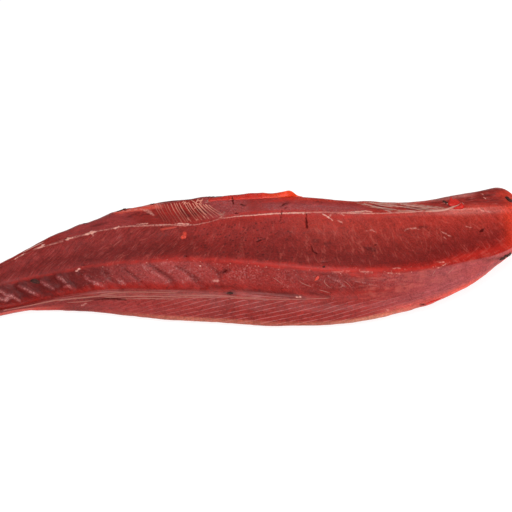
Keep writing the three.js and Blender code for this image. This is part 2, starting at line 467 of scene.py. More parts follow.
class Surface:
    """Finds places on a surface under a pixel of the photo."""

    def __init__(self, loft):
        self.loft = loft
        self.tree = loft.tree()

    def under_pixel(self, u, v):
        """The point that the photo shows at a pixel, or at the loin's edge nearest to it."""
        towards_middle = 0.5 if v < MIDDLE_ROW else -0.5
        for k in range(EDGE_TRIES):
            ray = Vector(pixel_ray(u, v + k * towards_middle))
            place, normal, _, _ = self.tree.ray_cast(Vector(CAMERA_PLACE), ray)
            if place is not None:
                return np.array(place), np.array(normal)
        raise ValueError(f"no surface near pixel {u}, {v}")

    def tint_finder(self, tint):
        """A function that gives the flesh's colour at the vertex nearest to a place."""
        colours = self.loft.per_vertex(tint)
        finder = KDTree(len(colours))
        for index, vertex in enumerate(self.loft.vertices()):
            finder.insert(vertex, index)
        finder.balance()
        return lambda place: colours[finder.find(Vector(place))[1]]


# ---- places seen in the photo -----------------------------------------------------------
# Each mark is a line of (u, v, half width): pixels of the photo, then millimetres.

# Pale tissue, raised a little; the three marks along the red ridge and the two small dots at u 200 and
# 296 are painted glints.
PALE_TISSUE_AND_GLINTS = (
    ((33, 249.5, 0.3), (38, 248, 0.8), (41, 247, 0.9), (45, 246, 0.4)),
    ((42, 245, 0.9), (45, 244.5, 0.5)),
    ((15, 259, 0.5), (20, 256, 0.6), (25, 253.5, 0.4)),
    ((65.5, 239.6, 0.7), (68, 238.8, 1.5), (71, 238, 0.8), (75, 237, 0.3)),
    ((82, 235.4, 0.4), (87, 234.2, 1.2), (92, 232.5, 1.7), (95.5, 231.5, 0.9), (98, 231, 0.3)),
    ((90.5, 232, 0.8), (92, 230.8, 0.4)),
    ((92, 233.5, 0.8), (93.5, 236, 0.3)),
    ((111, 228.8, 0.3), (115, 228.2, 1.0), (118, 227, 0.8), (120, 226, 0.3)),
    ((136, 224.4, 0.3), (141, 223.8, 0.5), (148, 223.4, 0.3)),
    ((175, 223.8, 0.4), (180, 223.6, 0.7), (187, 224, 0.7), (192, 224.7, 0.2)),
    ((283, 213, 0.8), (295, 213, 0.9), (304, 213.5, 0.7)),
    ((288, 213.2, 0.5), (298, 213.2, 0.9), (302, 213.5, 0.5)),
    ((322.6, 213.7, 0.3), (328, 217, 0.6), (332.8, 220.6, 0.1)),
    ((350, 212.5, 0.7), (358, 211.5, 0.9), (366, 211, 0.9), (372, 212, 0.5)),
    ((76, 271, 0.6), (80, 268.8, 0.8)),
    ((382, 271, 0.1), (390, 273.5, 0.3), (400, 273.5, 0.5)),
    ((437, 268.5, 0.2), (444, 265, 0.5), (450, 263, 0.1)),
    ((199.5, 265.5, 0.5), (201, 266, 0.5)),
    ((296, 296.8, 0.5), (301, 297.2, 0.5)),
    ((484, 197.5, 0.4), (485.5, 198.5, 0.6)),
)

# Thinner tissue, through which the flesh shows; the marks along the red ridge from u 333 to 444, and
# the speck at u 214, are painted glints.
FAINT_TISSUE_AND_GLINTS = (
    ((45, 246, 0.4), (54, 243.6, 0.6), (63, 241.2, 0.5)),
    ((72, 238, 0.7), (80, 236, 0.5), (86, 234.5, 0.7)),
    ((97, 231, 0.6), (105, 229.8, 0.4), (112, 229, 0.6)),
    ((112, 213.5, 0.3), (118, 211.7, 0.8), (126, 211, 0.9), (132, 210, 0.7), (137, 209.4, 1.0)),
    ((120, 226.5, 0.3), (134, 226, 0.7), (152, 225.4, 0.8), (172, 225.2, 0.5)),
    ((138, 208.5, 0.4), (143, 209.4, 1.1), (149, 211.5, 1.9), (154, 215.5, 0.5)),
    ((329, 217.5, 0.5), (331, 214, 0.5), (334.6, 212.8, 0.4), (341, 213.5, 0.5), (344, 215.5, 0.4)),
    ((338, 220.6, 0.5), (342, 222.5, 0.6)),
    ((366, 231, 0.1), (372, 230, 0.4), (376, 232, 0.1)),
    ((393, 268.5, 0.4), (400, 268, 0.5)),
    ((333, 272.5, 0.5), (338, 272, 0.5), (350, 271, 0.3)),
    ((360, 271.5, 0.3), (372, 272.5, 0.6)),
    ((438, 262.5, 0.4), (444, 262, 0.5)),
    ((404, 231, 0.1), (406, 229.4, 0.4), (410, 228.4, 0.3), (416, 228.2, 0.5), (420, 229.4, 0.1)),
    ((441, 231.5, 0.1), (444, 233, 0.3), (447, 234.5, 0.1)),
    ((448, 235.2, 0.1), (450, 236, 0.3), (452, 236.6, 0.1)),
    ((444, 237, 0.2), (446, 239, 0.1)),
    ((466, 226.5, 0.3), (471, 227.5, 0.4)),
    ((478, 208.5, 0.5), (480, 209, 0.7)),
    ((482, 210.5, 0.9), (484, 211, 0.6)),
    ((487, 211, 0.5), (490, 211.8, 0.7)),
    ((481, 193.6, 0.4), (482.5, 194.4, 0.7)),
    ((214, 280.5, 0.8), (218, 281, 0.8)),
    ((82, 305.5, 0.5), (86, 303.8, 0.6)),
    ((386, 309.5, 0.6), (389, 310, 0.5)),
)

# Soft dark marks: painted shade in folds, in grooves and in the cavities between the comb's sinews, and
# a few darker patches of flesh.
SHADES = (
    ((178, 207, 0.8), (184, 212, 2.0), (189, 216.5, 1.4)),
    ((186, 206, 0.8), (190, 210, 1.4), (196, 215, 0.8)),
    ((195, 207.5, 1.0), (200, 210.5, 2.0), (206, 213, 1.0)),
    ((232, 289, 0.5), (262, 292.5, 2.2), (290, 295, 2.4), (304, 298, 1.0)),
    ((62, 279.5, 1.0), (74, 284.5, 2.0), (82, 289, 1.0)),
    ((36, 288, 0.5), (46, 294, 2.0), (58, 296, 0.5)),
    ((14, 288, 0.5), (22, 294, 1.4), (32, 298, 0.5)),
    ((484, 261, 0.4), (494, 258.5, 1.2), (500, 258, 0.8)),
    ((306, 292, 0.8), (320, 294.5, 1.4), (330, 297, 0.4)),
    ((314, 241, 1.2), (317, 240.8, 1.4)),
    ((326, 244, 1.5), (330, 243, 1.0)),
    ((366, 248, 1.5), (374, 250, 2.0)),
    ((374, 205, 0.8), (384, 208, 1.2), (392, 209.5, 0.6)),
    ((404, 207, 0.8), (414, 208.6, 1.6), (428, 209, 0.8)),
    ((444, 204.5, 0.6), (450, 206, 1.4)),
    ((466, 200, 0.4), (480, 197, 0.8), (494, 194, 0.4)),
    ((420, 227, 1.0), (426, 227, 1.0)),
    ((78, 298.2, 0.4), (100, 298.6, 0.6), (124, 299, 0.4)),
    ((220, 273, 1.0), (225, 271.5, 2.2), (229, 269.5, 1.0)),
    ((281, 206.5, 0.8), (285, 204, 1.8), (288, 203, 0.8)),
    ((240, 204, 0.4), (244, 205.4, 1.2)),
    ((92, 226, 0.3), (98, 225, 1.0), (108, 222.5, 0.3)),
    ((126, 219, 0.3), (130, 216, 0.9), (138, 213, 0.4)),
    ((140, 216, 0.3), (146, 213.5, 0.7), (150, 214, 0.3)),
    ((224, 293, 0.8), (230, 293.2, 2.0), (236, 293, 0.8)),
    ((208, 286, 0.6), (222, 287, 1.6), (236, 286, 0.6)),
)

# Narrow crests of the tail's muscle lobes, raised, and painted lighter mauve with pale speckles: partly
# the lobes' own colour, partly a painted highlight.
CRESTS = (
    ((-14, 290, 1.0), (-6, 295, 2.0), (2, 300, 1.0)),
    ((0, 291, 1.0), (4, 293.5, 1.6)),
    ((5, 301, 1.2), (8, 297, 2.4), (12, 296, 1.4), (20, 301, 0.4)),
    ((19, 286, 0.4), (25, 289, 0.9), (29, 291, 0.7), (33, 292.5, 1.0), (38, 295.5, 0.4)),
    ((41, 281.5, 0.3), (46, 284.5, 0.8), (53, 288.5, 0.6)),
    ((57, 276.8, 0.6), (61, 278.5, 1.4), (66, 282, 0.7)),
    ((64.5, 287, 0.5), (68.5, 285.5, 1.2), (72, 289, 0.4)),
    ((84, 275, 0.4), (87, 278.5, 1.2), (91, 281.5, 0.5)),
    ((92, 281, 0.8), (95, 282.5, 1.8), (103, 286, 0.8)),
)

# Grooves between the broader lobes, sunk, and painted dark red as their shade.
GROOVES = (
    ((80, 272, 0.3), (86, 279, 0.6), (92, 288, 0.6)),
    ((104, 272, 0.3), (113, 281, 0.5), (122, 289, 0.5)),
    ((124, 269, 0.2), (134, 276, 0.3), (146, 286, 0.4)),
    ((149, 263.5, 0.4), (156, 269, 0.9), (163, 273, 1.0), (169, 277.5, 1.3), (174, 284, 1.6)),
    ((176, 266, 0.2), (184, 270, 0.9), (191, 276, 1.1), (197, 281, 1.6), (204, 286, 1.4)),
    ((207, 264, 0.1), (214, 269, 0.4), (220, 277, 0.4)),
)

# Painted highlights on the lobes: pale speckles standing in for light that their moist film catches.
PAINTED_SHEEN = (
    ((118, 280, 1.0), (121, 282.5, 1.8), (125, 284, 0.8)),
    ((142, 265.5, 1.4), (146, 268.5, 1.8), (148, 270, 0.8)),
    ((152, 272, 0.8), (158, 275.5, 1.0), (163, 279, 1.2)),
    ((165.5, 283, 1.2), (168.5, 280.8, 1.8)),
    ((161, 263, 1.0), (166, 262, 1.2)),
    ((169, 272, 1.2), (172, 270.5, 1.2)),
    ((183, 282, 1.0), (188, 278, 1.2)),
    ((212, 281.5, 0.8), (218, 280.5, 1.0)),
    ((328, 277, 0.6), (338, 281, 1.2), (344, 286, 0.5)),
    ((350, 280, 0.2), (364, 283, 0.7), (378, 286, 0.2)),
)

# Hair-thin fibres: the corners of an area, their number, length in pixels, the angles at
# the area's two ends, the spread of the angles, and the most that one turns, in radians.
HAIRS = (
    (((262, 220), (500, 218), (500, 243), (262, 258)), 110, (9, 20), (1.8, 0.9), 0.3, 1.0),
    (((345, 277), (496, 256), (488, 270), (360, 302)), 90, (14, 34), (0.0, -0.55), 0.12, 0.25),
    (((96, 228), (262, 216), (262, 258), (110, 258)), 60, (7, 15), (2.3, 2.0), 0.25, 0.6),
    (((444, 210), (478, 208), (480, 215), (448, 217)), 26, (4, 9), (0.9, 0.8), 0.12, 0.2),
)
HAIR_HALF = 0.25
HAIR_POINTS = 5


def hair_lines():
    """Marks for the fibres, each a random arc from a random place in its area."""
    rng = np.random.default_rng(SEED)
    lines = []
    for corners, number, length, angles, spread, turn_most in HAIRS:
        top_left, top_right, low_right, low_left = (np.array(corner, float) for corner in corners)
        for _ in range(number):
            s, t = rng.uniform(size=2)
            top = top_left * (1 - s) + top_right * s
            low = low_left * (1 - s) + low_right * s
            place = top * (1 - t) + low * t
            angle = rng.normal(angles[0] * (1 - s) + angles[1] * s, spread)
            turn = rng.uniform(-turn_most, turn_most) / (HAIR_POINTS - 1)
            step = rng.uniform(*length) / (HAIR_POINTS - 1)
            line = []
            for k in range(HAIR_POINTS):
                line.append((*place, HAIR_HALF if 0 < k < HAIR_POINTS - 1 else 0.0))
                place = place + step * np.array((math.cos(angle), math.sin(angle)))
                angle += turn
            lines.append(tuple(line))
    return lines


# Bright red bands along the ridges and on the top strip: a painted glow, standing in for light that
# comes through the thin flesh there.
BRIGHTS = (
    ((12, 283, 0.0), (24, 279, 0.2), (44, 275.3, 0.3), (60, 272, 0.2)),
    ((60, 272, 0.1), (90, 266, 0.5), (120, 262.5, 0.8), (160, 260.5, 0.8), (200, 259, 0.8)),
    ((200, 259, 0.8), (240, 262, 0.8), (280, 266.5, 0.9), (320, 269.5, 1.2), (345, 270.5, 1.6)),
    ((350, 274, 1.0), (366, 275.5, 1.6), (380, 275, 0.8)),
    ((345, 270.5, 1.6), (370, 270, 1.8), (400, 270, 1.2), (425, 268.5, 1.0), (450, 260, 1.0)),
    ((450, 260, 1.2), (475, 254, 1.4), (505, 246, 1.6)),
    ((312, 199, 0.8), (340, 200, 1.2), (380, 202, 1.0), (430, 201, 0.8)),
    ((226, 216.5, 0.8), (240, 213.5, 1.0), (262, 212, 1.0), (300, 211, 1.0), (320, 212, 0.8)),
    ((322, 218, 0.6), (350, 216.5, 1.2), (380, 215.5, 1.2), (410, 214.5, 0.6)),
    ((240, 217.5, 0.2), (262, 216.5, 0.8), (300, 216, 0.8), (322, 217, 0.6)),
    ((264, 202, 0.2), (278, 200.5, 1.4), (294, 198.5, 0.8)),
)

# Soft greyish veils on the top strip.
VEILS = (
    ((357, 202.5, 0.8), (366, 205, 1.4), (380, 208, 1.4), (396, 210, 0.8)),
    ((366, 202, 1.0), (382, 204, 1.4), (398, 206.5, 1.2)),
    ((378, 202.5, 1.0), (394, 203.5, 1.6), (412, 206, 1.6), (428, 209, 1.4)),
    ((396, 203, 0.8), (412, 205, 1.6), (428, 206.5, 1.6), (444, 208, 1.0)),
    ((384, 209.5, 0.8), (398, 211, 1.4), (414, 211.5, 1.2)),
    ((418, 208.5, 1.0), (434, 210, 1.4), (448, 208.5, 1.0)),
    ((206, 202, 0.6), (209, 201, 1.2), (211, 200, 0.6)),
    ((224, 212, 0.6), (222, 216, 1.2), (218, 212, 0.6)),
)

# Slits, cracks, holes and dark spots, sunk and painted darkest red: painted shade inside the slits,
# cracks and holes, and the dark red of the spots.
DARK_MARKS = (
    ((305.8, 209.5, 0.2), (306.2, 213, 0.5), (306.5, 220, 0.8), (307, 227.5, 1.0)),
    ((281.8, 210.5, 0.4), (281.5, 213, 0.6), (281, 217, 0.4), (279.5, 221.5, 0.4)),
    ((231.8, 195.5, 0.6), (232.5, 200, 0.7), (233.5, 204, 0.5)),
    ((310.5, 244, 0.4), (312, 249, 0.6), (314, 252, 0.7), (317, 253.5, 0.6)),
    ((240.5, 203.6, 0.4), (243, 205, 0.8), (245, 205.6, 0.2)),
    ((235, 213, 0.9), (238, 213, 0.6)),
    ((282, 205.4, 0.5), (284.5, 203.6, 0.8), (287, 202.8, 0.5)),
    ((285, 208, 0.5), (287.5, 206.5, 0.6)),
    ((223, 272.5, 0.4), (225, 271.5, 1.0), (227, 270.5, 0.3)),
    ((480.5, 231.5, 0.9), (482, 230.5, 1.4), (483.8, 229, 0.7)),
    ((257, 241.5, 0.8), (261, 239.5, 0.9)),
    ((59, 239, 0.5), (60, 239, 0.5)),
    ((65.5, 238.5, 0.8), (66, 238.5, 0.6)),
    ((72, 268, 0.2), (84, 265.5, 0.3), (96, 264.5, 0.2)),
    ((92, 300.4, 0.1), (106, 298.8, 0.5), (117, 299, 0.7), (126, 300, 0.3)),
    ((114, 209, 1.4), (122, 209, 1.4), (126, 210, 0.6)),
    ((418.5, 305.5, 0.6), (421, 305, 1.4), (425, 304.5, 1.4)),
    ((375, 245, 0.7), (376, 244, 0.6)),
    ((322, 262.5, 0.6), (331, 261, 0.2)),
    ((280, 289, 0.7), (283, 288.5, 0.5)),
    ((183, 255, 0.3), (187, 256.5, 0.5)),
)

# ---- marks on the surface ---------------------------------------------------------------

FAR = 6  # marks further away than this don't count


def inside_marks(points, surface, marks):
    """How far inside the nearest mark each point lies, in millimetres, and below 0 outside."""
    depth = np.full(points.shape[:-1], -float(FAR))
    for mark in marks:
        path = [surface.under_pixel(u, v)[0] for u, v, _ in mark]
        halves = [half for _, _, half in mark]
        for a, b, half_a, half_b in zip(path, path[1:], halves, halves[1:]):
            run = b - a
            reach = FAR + max(half_a, half_b)
            low, high = min(a[0], b[0]) - reach, max(a[0], b[0]) + reach
            first, last = np.searchsorted(points[:, 0, 0], (low, high))
            near = points[first:last]
            share = np.clip((near - a) @ run / max(run @ run, 1e-9), 0, 1)
            off = np.linalg.norm(near - a - share[..., None] * run, axis=-1)
            inside = half_a + (half_b - half_a) * share - off
            depth[first:last] = np.maximum(depth[first:last], inside)
    return depth


# ---- relief ---------------------------------------------------------------------------


def lobe_phase(loft):
    """Counts the tail's lobes along the loin, on lines that slant towards the head."""
    slanted = loft.x - LOBE_SLANT * np.clip(loft.face - 2, 0, 1)
    return slanted / LOBE_PITCH + LOBE_WANDER * noise(loft.rest, LOBE_WANDER_SIZE)


def lobe_profile(phase):
    """Rises slowly to a crest and drops quickly into the next groove."""
    f = phase - np.floor(phase)
    return smooth(0, 0.6, f) * (1 - smooth(0.8, 1, f))


def uneven(points, bumps):
    """The sum of several noises, each given as (height, size, octaves)."""
    return sum(height * noise(points, size, octaves) for height, size, octaves in bumps)


def add_form(loft):
    """Raises and sinks the surface into lobes, hollows and the unevenness of cut flesh."""
    cut, strip = loft.on_face(0, 5.6), loft.arch(0, 2)
    fading = 1 - smooth(*LOBE_FADE_X, loft.x)
    height = (lobe_profile(lobe_phase(loft)) - 0.5) * loft.arch(2, 0.8) * LOBE_HEIGHT * fading
    height -= FIN_HOLLOW_DEPTH * loft.stretch(*FIN_HOLLOW_X, FIN_HOLLOW_FADE) * strip
    height += FIN_LOBE_HEIGHT * loft.stretch(*FIN_LOBE_X, FIN_HOLLOW_FADE) * strip
    top_edge = np.maximum(1 - loft.face / 0.45, 0) + np.maximum(1 - (9 - loft.face) / 0.4, 0)
    height += top_edge * loft.swells(EDGE_SWELLS)
    height += bell(5, 0.4, loft.face) * loft.swells(FOOT_SWELLS)
    height += cut * uneven(loft.points, CUT_BUMPS) + (1 - cut) * uneven(loft.points, SKIN_BUMPS)
    height *= smooth(FIRST_X, FIRST_X + RELIEF_FADE[0], loft.x)
    height *= 1 - smooth(LAST_X - RELIEF_FADE[1], LAST_X, loft.x)
    loft.raise_by(height)
    loft.points[..., 2] = np.maximum(loft.points[..., 2], 0)


MARKS = {
    "tissue": PALE_TISSUE_AND_GLINTS,
    "faint": FAINT_TISSUE_AND_GLINTS,
    "shade": SHADES,
    "crest": CRESTS,
    "groove": GROOVES,
    "film": PAINTED_SHEEN,
    "bright": BRIGHTS,
    "hair": hair_lines(),
    "veil": VEILS,
    "dark": DARK_MARKS,
}
# How much a mark raises the surface, and how far inside it that starts and is whole.
MARK_RELIEF = {
    "tissue": (0.25, -0.4, 0.8),
    "crest": (1.2, -4.0, 0.8),
    "groove": (-1.0, -3.5, 1.2),
    "film": (0.3, -1.5, 1.5),
    "dark": (-0.9, -0.6, 0.8),
}


def add_marks(loft, surface):
    """Finds the marks' fields, and raises tissue and sinks slits and pits."""
    fields = {name: inside_marks(loft.points, surface, marks) for name, marks in MARKS.items()}
    height = 0
    for name, (rise, start, end) in MARK_RELIEF.items():
        height = height + rise * smooth(start, end, fields[name])
    loft.raise_by(height)
    return fields


# ---- colours --------------------------------------------------------------------------


def linear(red, green, blue):
    """A screen colour of 0 to 255 as linear light."""
    c = np.array((red, green, blue)) / 255
    return np.where(c <= 0.04045, c / 12.92, ((c + 0.055) / 1.055) ** 2.4)


DARK_LOBE = linear(98, 26, 25)
DEEP = linear(113, 26, 23)  # dark brownish red of the upper cut face
FLESH = linear(142, 37, 32)
BRIGHT_RED = linear(188, 42, 32)
WARM = linear(156, 44, 35)
SCARLET = linear(168, 30, 22)
MAUVE = linear(150, 58, 58)
LOBE = linear(164, 76, 75)
PINK = linear(156, 70, 72)
GREY_PINK = linear(146, 68, 62)
# Pale tissue, and the painted glints of the sparkles.
PALE = linear(226, 160, 146)
# Pinkish white: painted highlight in the moist film, haze and crests, and the colour of the pale layer
# lines and lip strands.
SPECKLE = linear(200, 132, 128)
DARKEST_RED = linear(80, 16, 15)  # darkest red: painted shade in slits, pits, folds and cavities, and the dark red of bruises
ORANGE = linear(222, 60, 34)
FIBRE = linear(196, 118, 110)
HAIR = linear(196, 98, 84)
ROSE = linear(198, 74, 74)
VEIL = linear(186, 150, 134)
CORAL = linear(232, 84, 66)
TAN = linear(190, 112, 88)
SILVER = linear(184, 132, 128)
SKIN = linear(42, 28, 26)


def paint_upper_face(paint, loft, patchy):
    """The upper cut face, darker downwards and towards the tail."""
    main = loft.on_face(1, 2)
    lower = main * smooth(0.2, 0.85, loft.face - 1 + 0.12 * patchy)
    upper = main - lower
    paint(WARM, upper * loft.level((40, 0), (90, 0.7), (140, 0.8), (180, 0.4), (230, 0.9)))
    paint(DEEP, lower * loft.level((20, 0.8), (50, 0.7), (90, 0.7), (120, 0.8)))
    paint(CORAL, upper * 0.08 * loft.stretch(70, 250, 20))
    paint(DEEP, loft.on_face(1.2, 1.6, 0.2) * 0.35 * loft.stretch(-100, -45, 30))
    paint(DEEP, loft.on_face(1.4, 1.7, 0.2) * 0.3 * loft.stretch(60, 240, 30))
    paint(DEEP, main * 0.5 * (1 - smooth(-150, -40, loft.x)))
    paint(MAUVE, main * 0.2 * (1 - smooth(-120, -40, loft.x)))
    paint(DARKEST_RED, lower * loft.level((-210, 0), (-180, 0.22), (-110, 0.2), (-60, 0.3), (-30, 0)))


# How strongly the painted glow above the red ridge shows along the loin.
RED_BAND = ((-302, 0), (-150, 0.1), (-60, 0.35), (60, 0.7), (150, 0.6), (190, 0.6), (220, 0.9))


def paint_red_ridge(paint, loft):
    """The band above the red ridge, which widens towards the head: a painted glow of scarlet, standing
    in for light that comes through the ridge.
    """
    width = loft.level((-302, 2), (40, 3), (200, 6), (280, 12))
    off = loft.off["red"] + 1.6 * noise(loft.points, 6, 2)
    band = bell(0, width, np.minimum(off + 2, 0)) * (1 - smooth(0, 3, off))
    paint(SCARLET, band * loft.level(*RED_BAND))


def paint_trough(paint, loft, marks):
    """Mauve lobes with lighter crests, partly painted highlight; dark grooves, painted as their shade;
    and deep red at the trough's foot, painted light bounced round the hollow.
    """
    trough = loft.on_face(2.12, 2.85)
    paint(LOBE, trough * loft.level((-170, 0), (-125, 0.45), (-80, 0.5), (-45, 0.4), (-10, 0.1)))
    paint(DARK_LOBE, trough * loft.level((-160, 0.95), (-125, 0.75), (-90, 0.2), (-50, 0)))
    paint(DEEP, trough * loft.level((-60, 0), (0, 0.15), (40, 0.2), (80, 0.35), (120, 0.2)))
    paint(DEEP, trough * 0.3 * loft.stretch(65, 115, 20))
    # Painted shade in the grooves between the lobes.
    paint(DARK_LOBE, 0.75 * smooth(-2.6, 0.8, marks["groove"]))
    # Lighter mauve on the crests: partly the lobes' own colour, partly a painted highlight.
    paint(MAUVE, 0.7 * smooth(-2.4, 1.2, marks["crest"]))
    # Painted bounce light: saturated scarlet at the trough's foot.
    foot = bump(2.88, 3.1, 0.2, loft.face + 0.1 * noise(loft.points, 12, 2))
    paint(SCARLET, foot * loft.level((-230, 0.5), (-120, 0.4), (-60, 0.4), (0, 0.1), (20, 0)))


LIP_GREY = ((-170, 0), (-140, 0.2), (-110, 0.45), (-60, 0.6), (-30, 0.3), (-10, 0.1))
FOOT_TAN = (
    (-170, 0), (-120, 0.15), (-80, 0.45), (-40, 0.7), (40, 0.3), (90, 0.6), (110, 1), (140, 1), (190, 0)
)


def paint_lower_face(paint, loft):
    """The lip and the face under it, with a painted glow of coral and orange along the thin bottom
    edge.
    """
    under = loft.on_face(4.15, 5)
    lip = loft.on_face(3.45, 4.1, 0.2) * (1 - smooth(40, 110, loft.x))
    paint(GREY_PINK, lip * loft.level(*LIP_GREY))
    paint(MAUVE, under * loft.level((-120, 0.35), (0, 0.05), (60, 0), (100, 0.15), (150, 0.5)))
    paint(PINK, loft.on_face(2.2, 5) * smooth(110, 220, loft.x))
    paint(ROSE, loft.on_face(2.2, 4.6) * 0.3 * smooth(190, 240, loft.x))
    paint(DEEP, under * 0.42 * loft.stretch(-10, 85, 35))
    paint(SCARLET, under * 0.15 * loft.stretch(5, 110, 30))
    paint(TAN, loft.on_face(4.88, 5.2, 0.08) * loft.level(*FOOT_TAN))
    # Painted glow of light coming through the thin bottom edge, near the head.
    paint(CORAL, loft.on_face(4.7, 5.3, 0.3) * 0.3 * loft.stretch(150, 220, 30))
    tail = loft.level((-230, 0.42), (-190, 0.34), (-155, 0.3), (-110, 0))
    paint(DARKEST_RED, loft.on_face(2.2, 4.9, 0.1) * tail)
    # Painted glow of light coming through the thin bottom edge, at the tail.
    paint(ORANGE, loft.on_face(4.6, 5.3, 0.3) * 0.6 * (1 - smooth(-200, -150, loft.x)))


UNDER_PALE = ((80, 0), (150, 0.28), (205, 0.3), (222, 0.75), (238, 0.75), (262, 0.55))


def paint_top_strip(paint, loft, marks):
    """Mauve beside the sinews, darker towards the head, and pale beside the ridge; a painted glow of
    coral and bright red along the ridge, and the soft dark marks, mostly painted shade.
    """
    strip, off = loft.on_face(0.1, 0.95), loft.off["pale"]
    paint(MAUVE, strip * 0.6 * loft.stretch(-150, -95, 20))
    paint(WARM, strip * 0.7 * smooth(-70, 90, loft.x))
    paint(MAUVE, strip * loft.level((-24, 0), (-4, 0.6), (8, 0.5), (30, 0.15), (120, 0.2), (140, 0)))
    paint(PINK, strip * 0.3 * loft.stretch(-14, 24, 10))
    paint(PINK, loft.on_face(0.6, 0.9, 0.3) * 0.6 * loft.stretch(50, 125, 25))
    paint(DEEP, strip * 0.5 * smooth(180, 220, loft.x))
    paint(BRIGHT_RED, 0.3 * loft.stretch(*FIN_HOLLOW_X, FIN_HOLLOW_FADE) * loft.arch(0, 2))
    paint(FIBRE, bell(loft.level((200, 2.5), (235, 4.5)), 3, off) * loft.level(*UNDER_PALE))
    # Painted glow along the thin pale ridge: coral near the head, bright red from the middle onwards.
    paint(CORAL, 0.35 * bell(0, 4, off) * loft.stretch(232, 262, 14))
    paint(BRIGHT_RED, 0.3 * bell(0, 7, off) * smooth(-60, 40, loft.x))
    # The soft dark marks: painted shade in folds, grooves and cavities, and a few darker patches.
    paint(DARKEST_RED, 0.65 * smooth(-2.4, 1.6, marks["shade"]))


def paint_skin_side(paint, loft):
    """Greyer towards the middle of the back, with a pale stretch of rim above the sinews whose coral is
    painted glow.
    """
    paint(GREY_PINK, loft.on_face(5.8, 8.8, 0.5) * 0.5)
    rim = (loft.on_face(-0.1, 0.22) + loft.on_face(8.9, 9.1)) * loft.stretch(-95, -62, 10)
    paint(CORAL, rim * 0.5)
    paint(FIBRE, rim * 0.35)


def paint_thin_edges(paint, loft):
    """The head end, the foot near it and the rim: a painted glow of orange and coral where they are
    thin, standing in for light that comes through them.
    """
    end = smooth(264, 294, loft.x - 6 * (loft.face < 1)) * (1 - 0.6 * smooth(292, 300, loft.x))
    paint(ORANGE, end * 0.8)
    paint(CORAL, loft.on_face(4.86, 5.4) * 0.9 * smooth(165, 215, loft.x))
    rim = loft.on_face(-0.1, 0.2, 0.15) + loft.on_face(8.9, 9.1)
    paint(ORANGE, rim * 0.6 * (1 - smooth(-225, -195, loft.x)))
    paint(ORANGE, rim * (0.5 * loft.stretch(-100, -66, 8) + 0.4 * loft.stretch(70, 190, 20)))
    paint(FIBRE, rim * 0.5 * loft.stretch(150, 245, 15))


PATCHES = (0.07, 30, 2)  # light and dark patches: strength, size and octaves


def flesh_tint(loft, marks):
    """The flesh's broad colours: each face's own, and the bands along the edges, with painted glow,
    highlight, bounce light and shade among them.
    """
    strength, size, octaves = PATCHES
    patchy = noise(loft.points, size, octaves)
    tint = np.broadcast_to(FLESH, loft.points.shape).copy()

    def paint(colour, share):
        tint[:] = tint + (colour - tint) * np.clip(share, 0, 1)[..., None]

    paint_upper_face(paint, loft, patchy)
    paint_red_ridge(paint, loft)
    paint_trough(paint, loft, marks)
    paint_lower_face(paint, loft)
    paint_top_strip(paint, loft, marks)
    paint_skin_side(paint, loft)
    paint_thin_edges(paint, loft)
    return tint * (1 + strength * patchy)[..., None]


# ---- meshes ---------------------------------------------------------------------------


def new_piece(name, vertices, faces, material):
    """A mesh piece from millimetres, which rides on the loin's one body."""
    mesh = bpy.data.meshes.new(name)
    mesh.from_pydata((np.asarray(vertices) * MM).tolist(), [], faces)
    mesh.materials.append(material)
    mesh.shade_smooth()
    mesh.update()
    piece = bpy.data.objects.new(name, mesh)
    bpy.context.scene.collection.objects.link(piece)
    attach(piece, "root")
    return piece


def add_attribute(mesh, name, values):
    """A value, or a colour of three values, for each vertex."""
    kind = "FLOAT" if values.shape[1] == 1 else "FLOAT_COLOR"
    if kind == "FLOAT_COLOR":
        values = np.concatenate((values, np.ones((len(values), 1))), 1)
    attribute = mesh.attributes.new(name, kind, "POINT")
    field = "value" if kind == "FLOAT" else "color"
    attribute.data.foreach_set(field, values.astype(np.float32).ravel())


# ---- materials ------------------------------------------------------------------------


class Wire:
    """The output of a shader node, with sums written as in ordinary code."""

    def __init__(self, graph, socket):
        self.graph, self.socket = graph, socket

    def __add__(self, other):
        return self.graph.math("ADD", self, other)

    def __sub__(self, other):
        return self.graph.math("SUBTRACT", self, other)

    def __mul__(self, other):
        return self.graph.math("MULTIPLY", self, other)

    __radd__ = __add__

    def __rsub__(self, other):
        return self.graph.math("SUBTRACT", other, self)


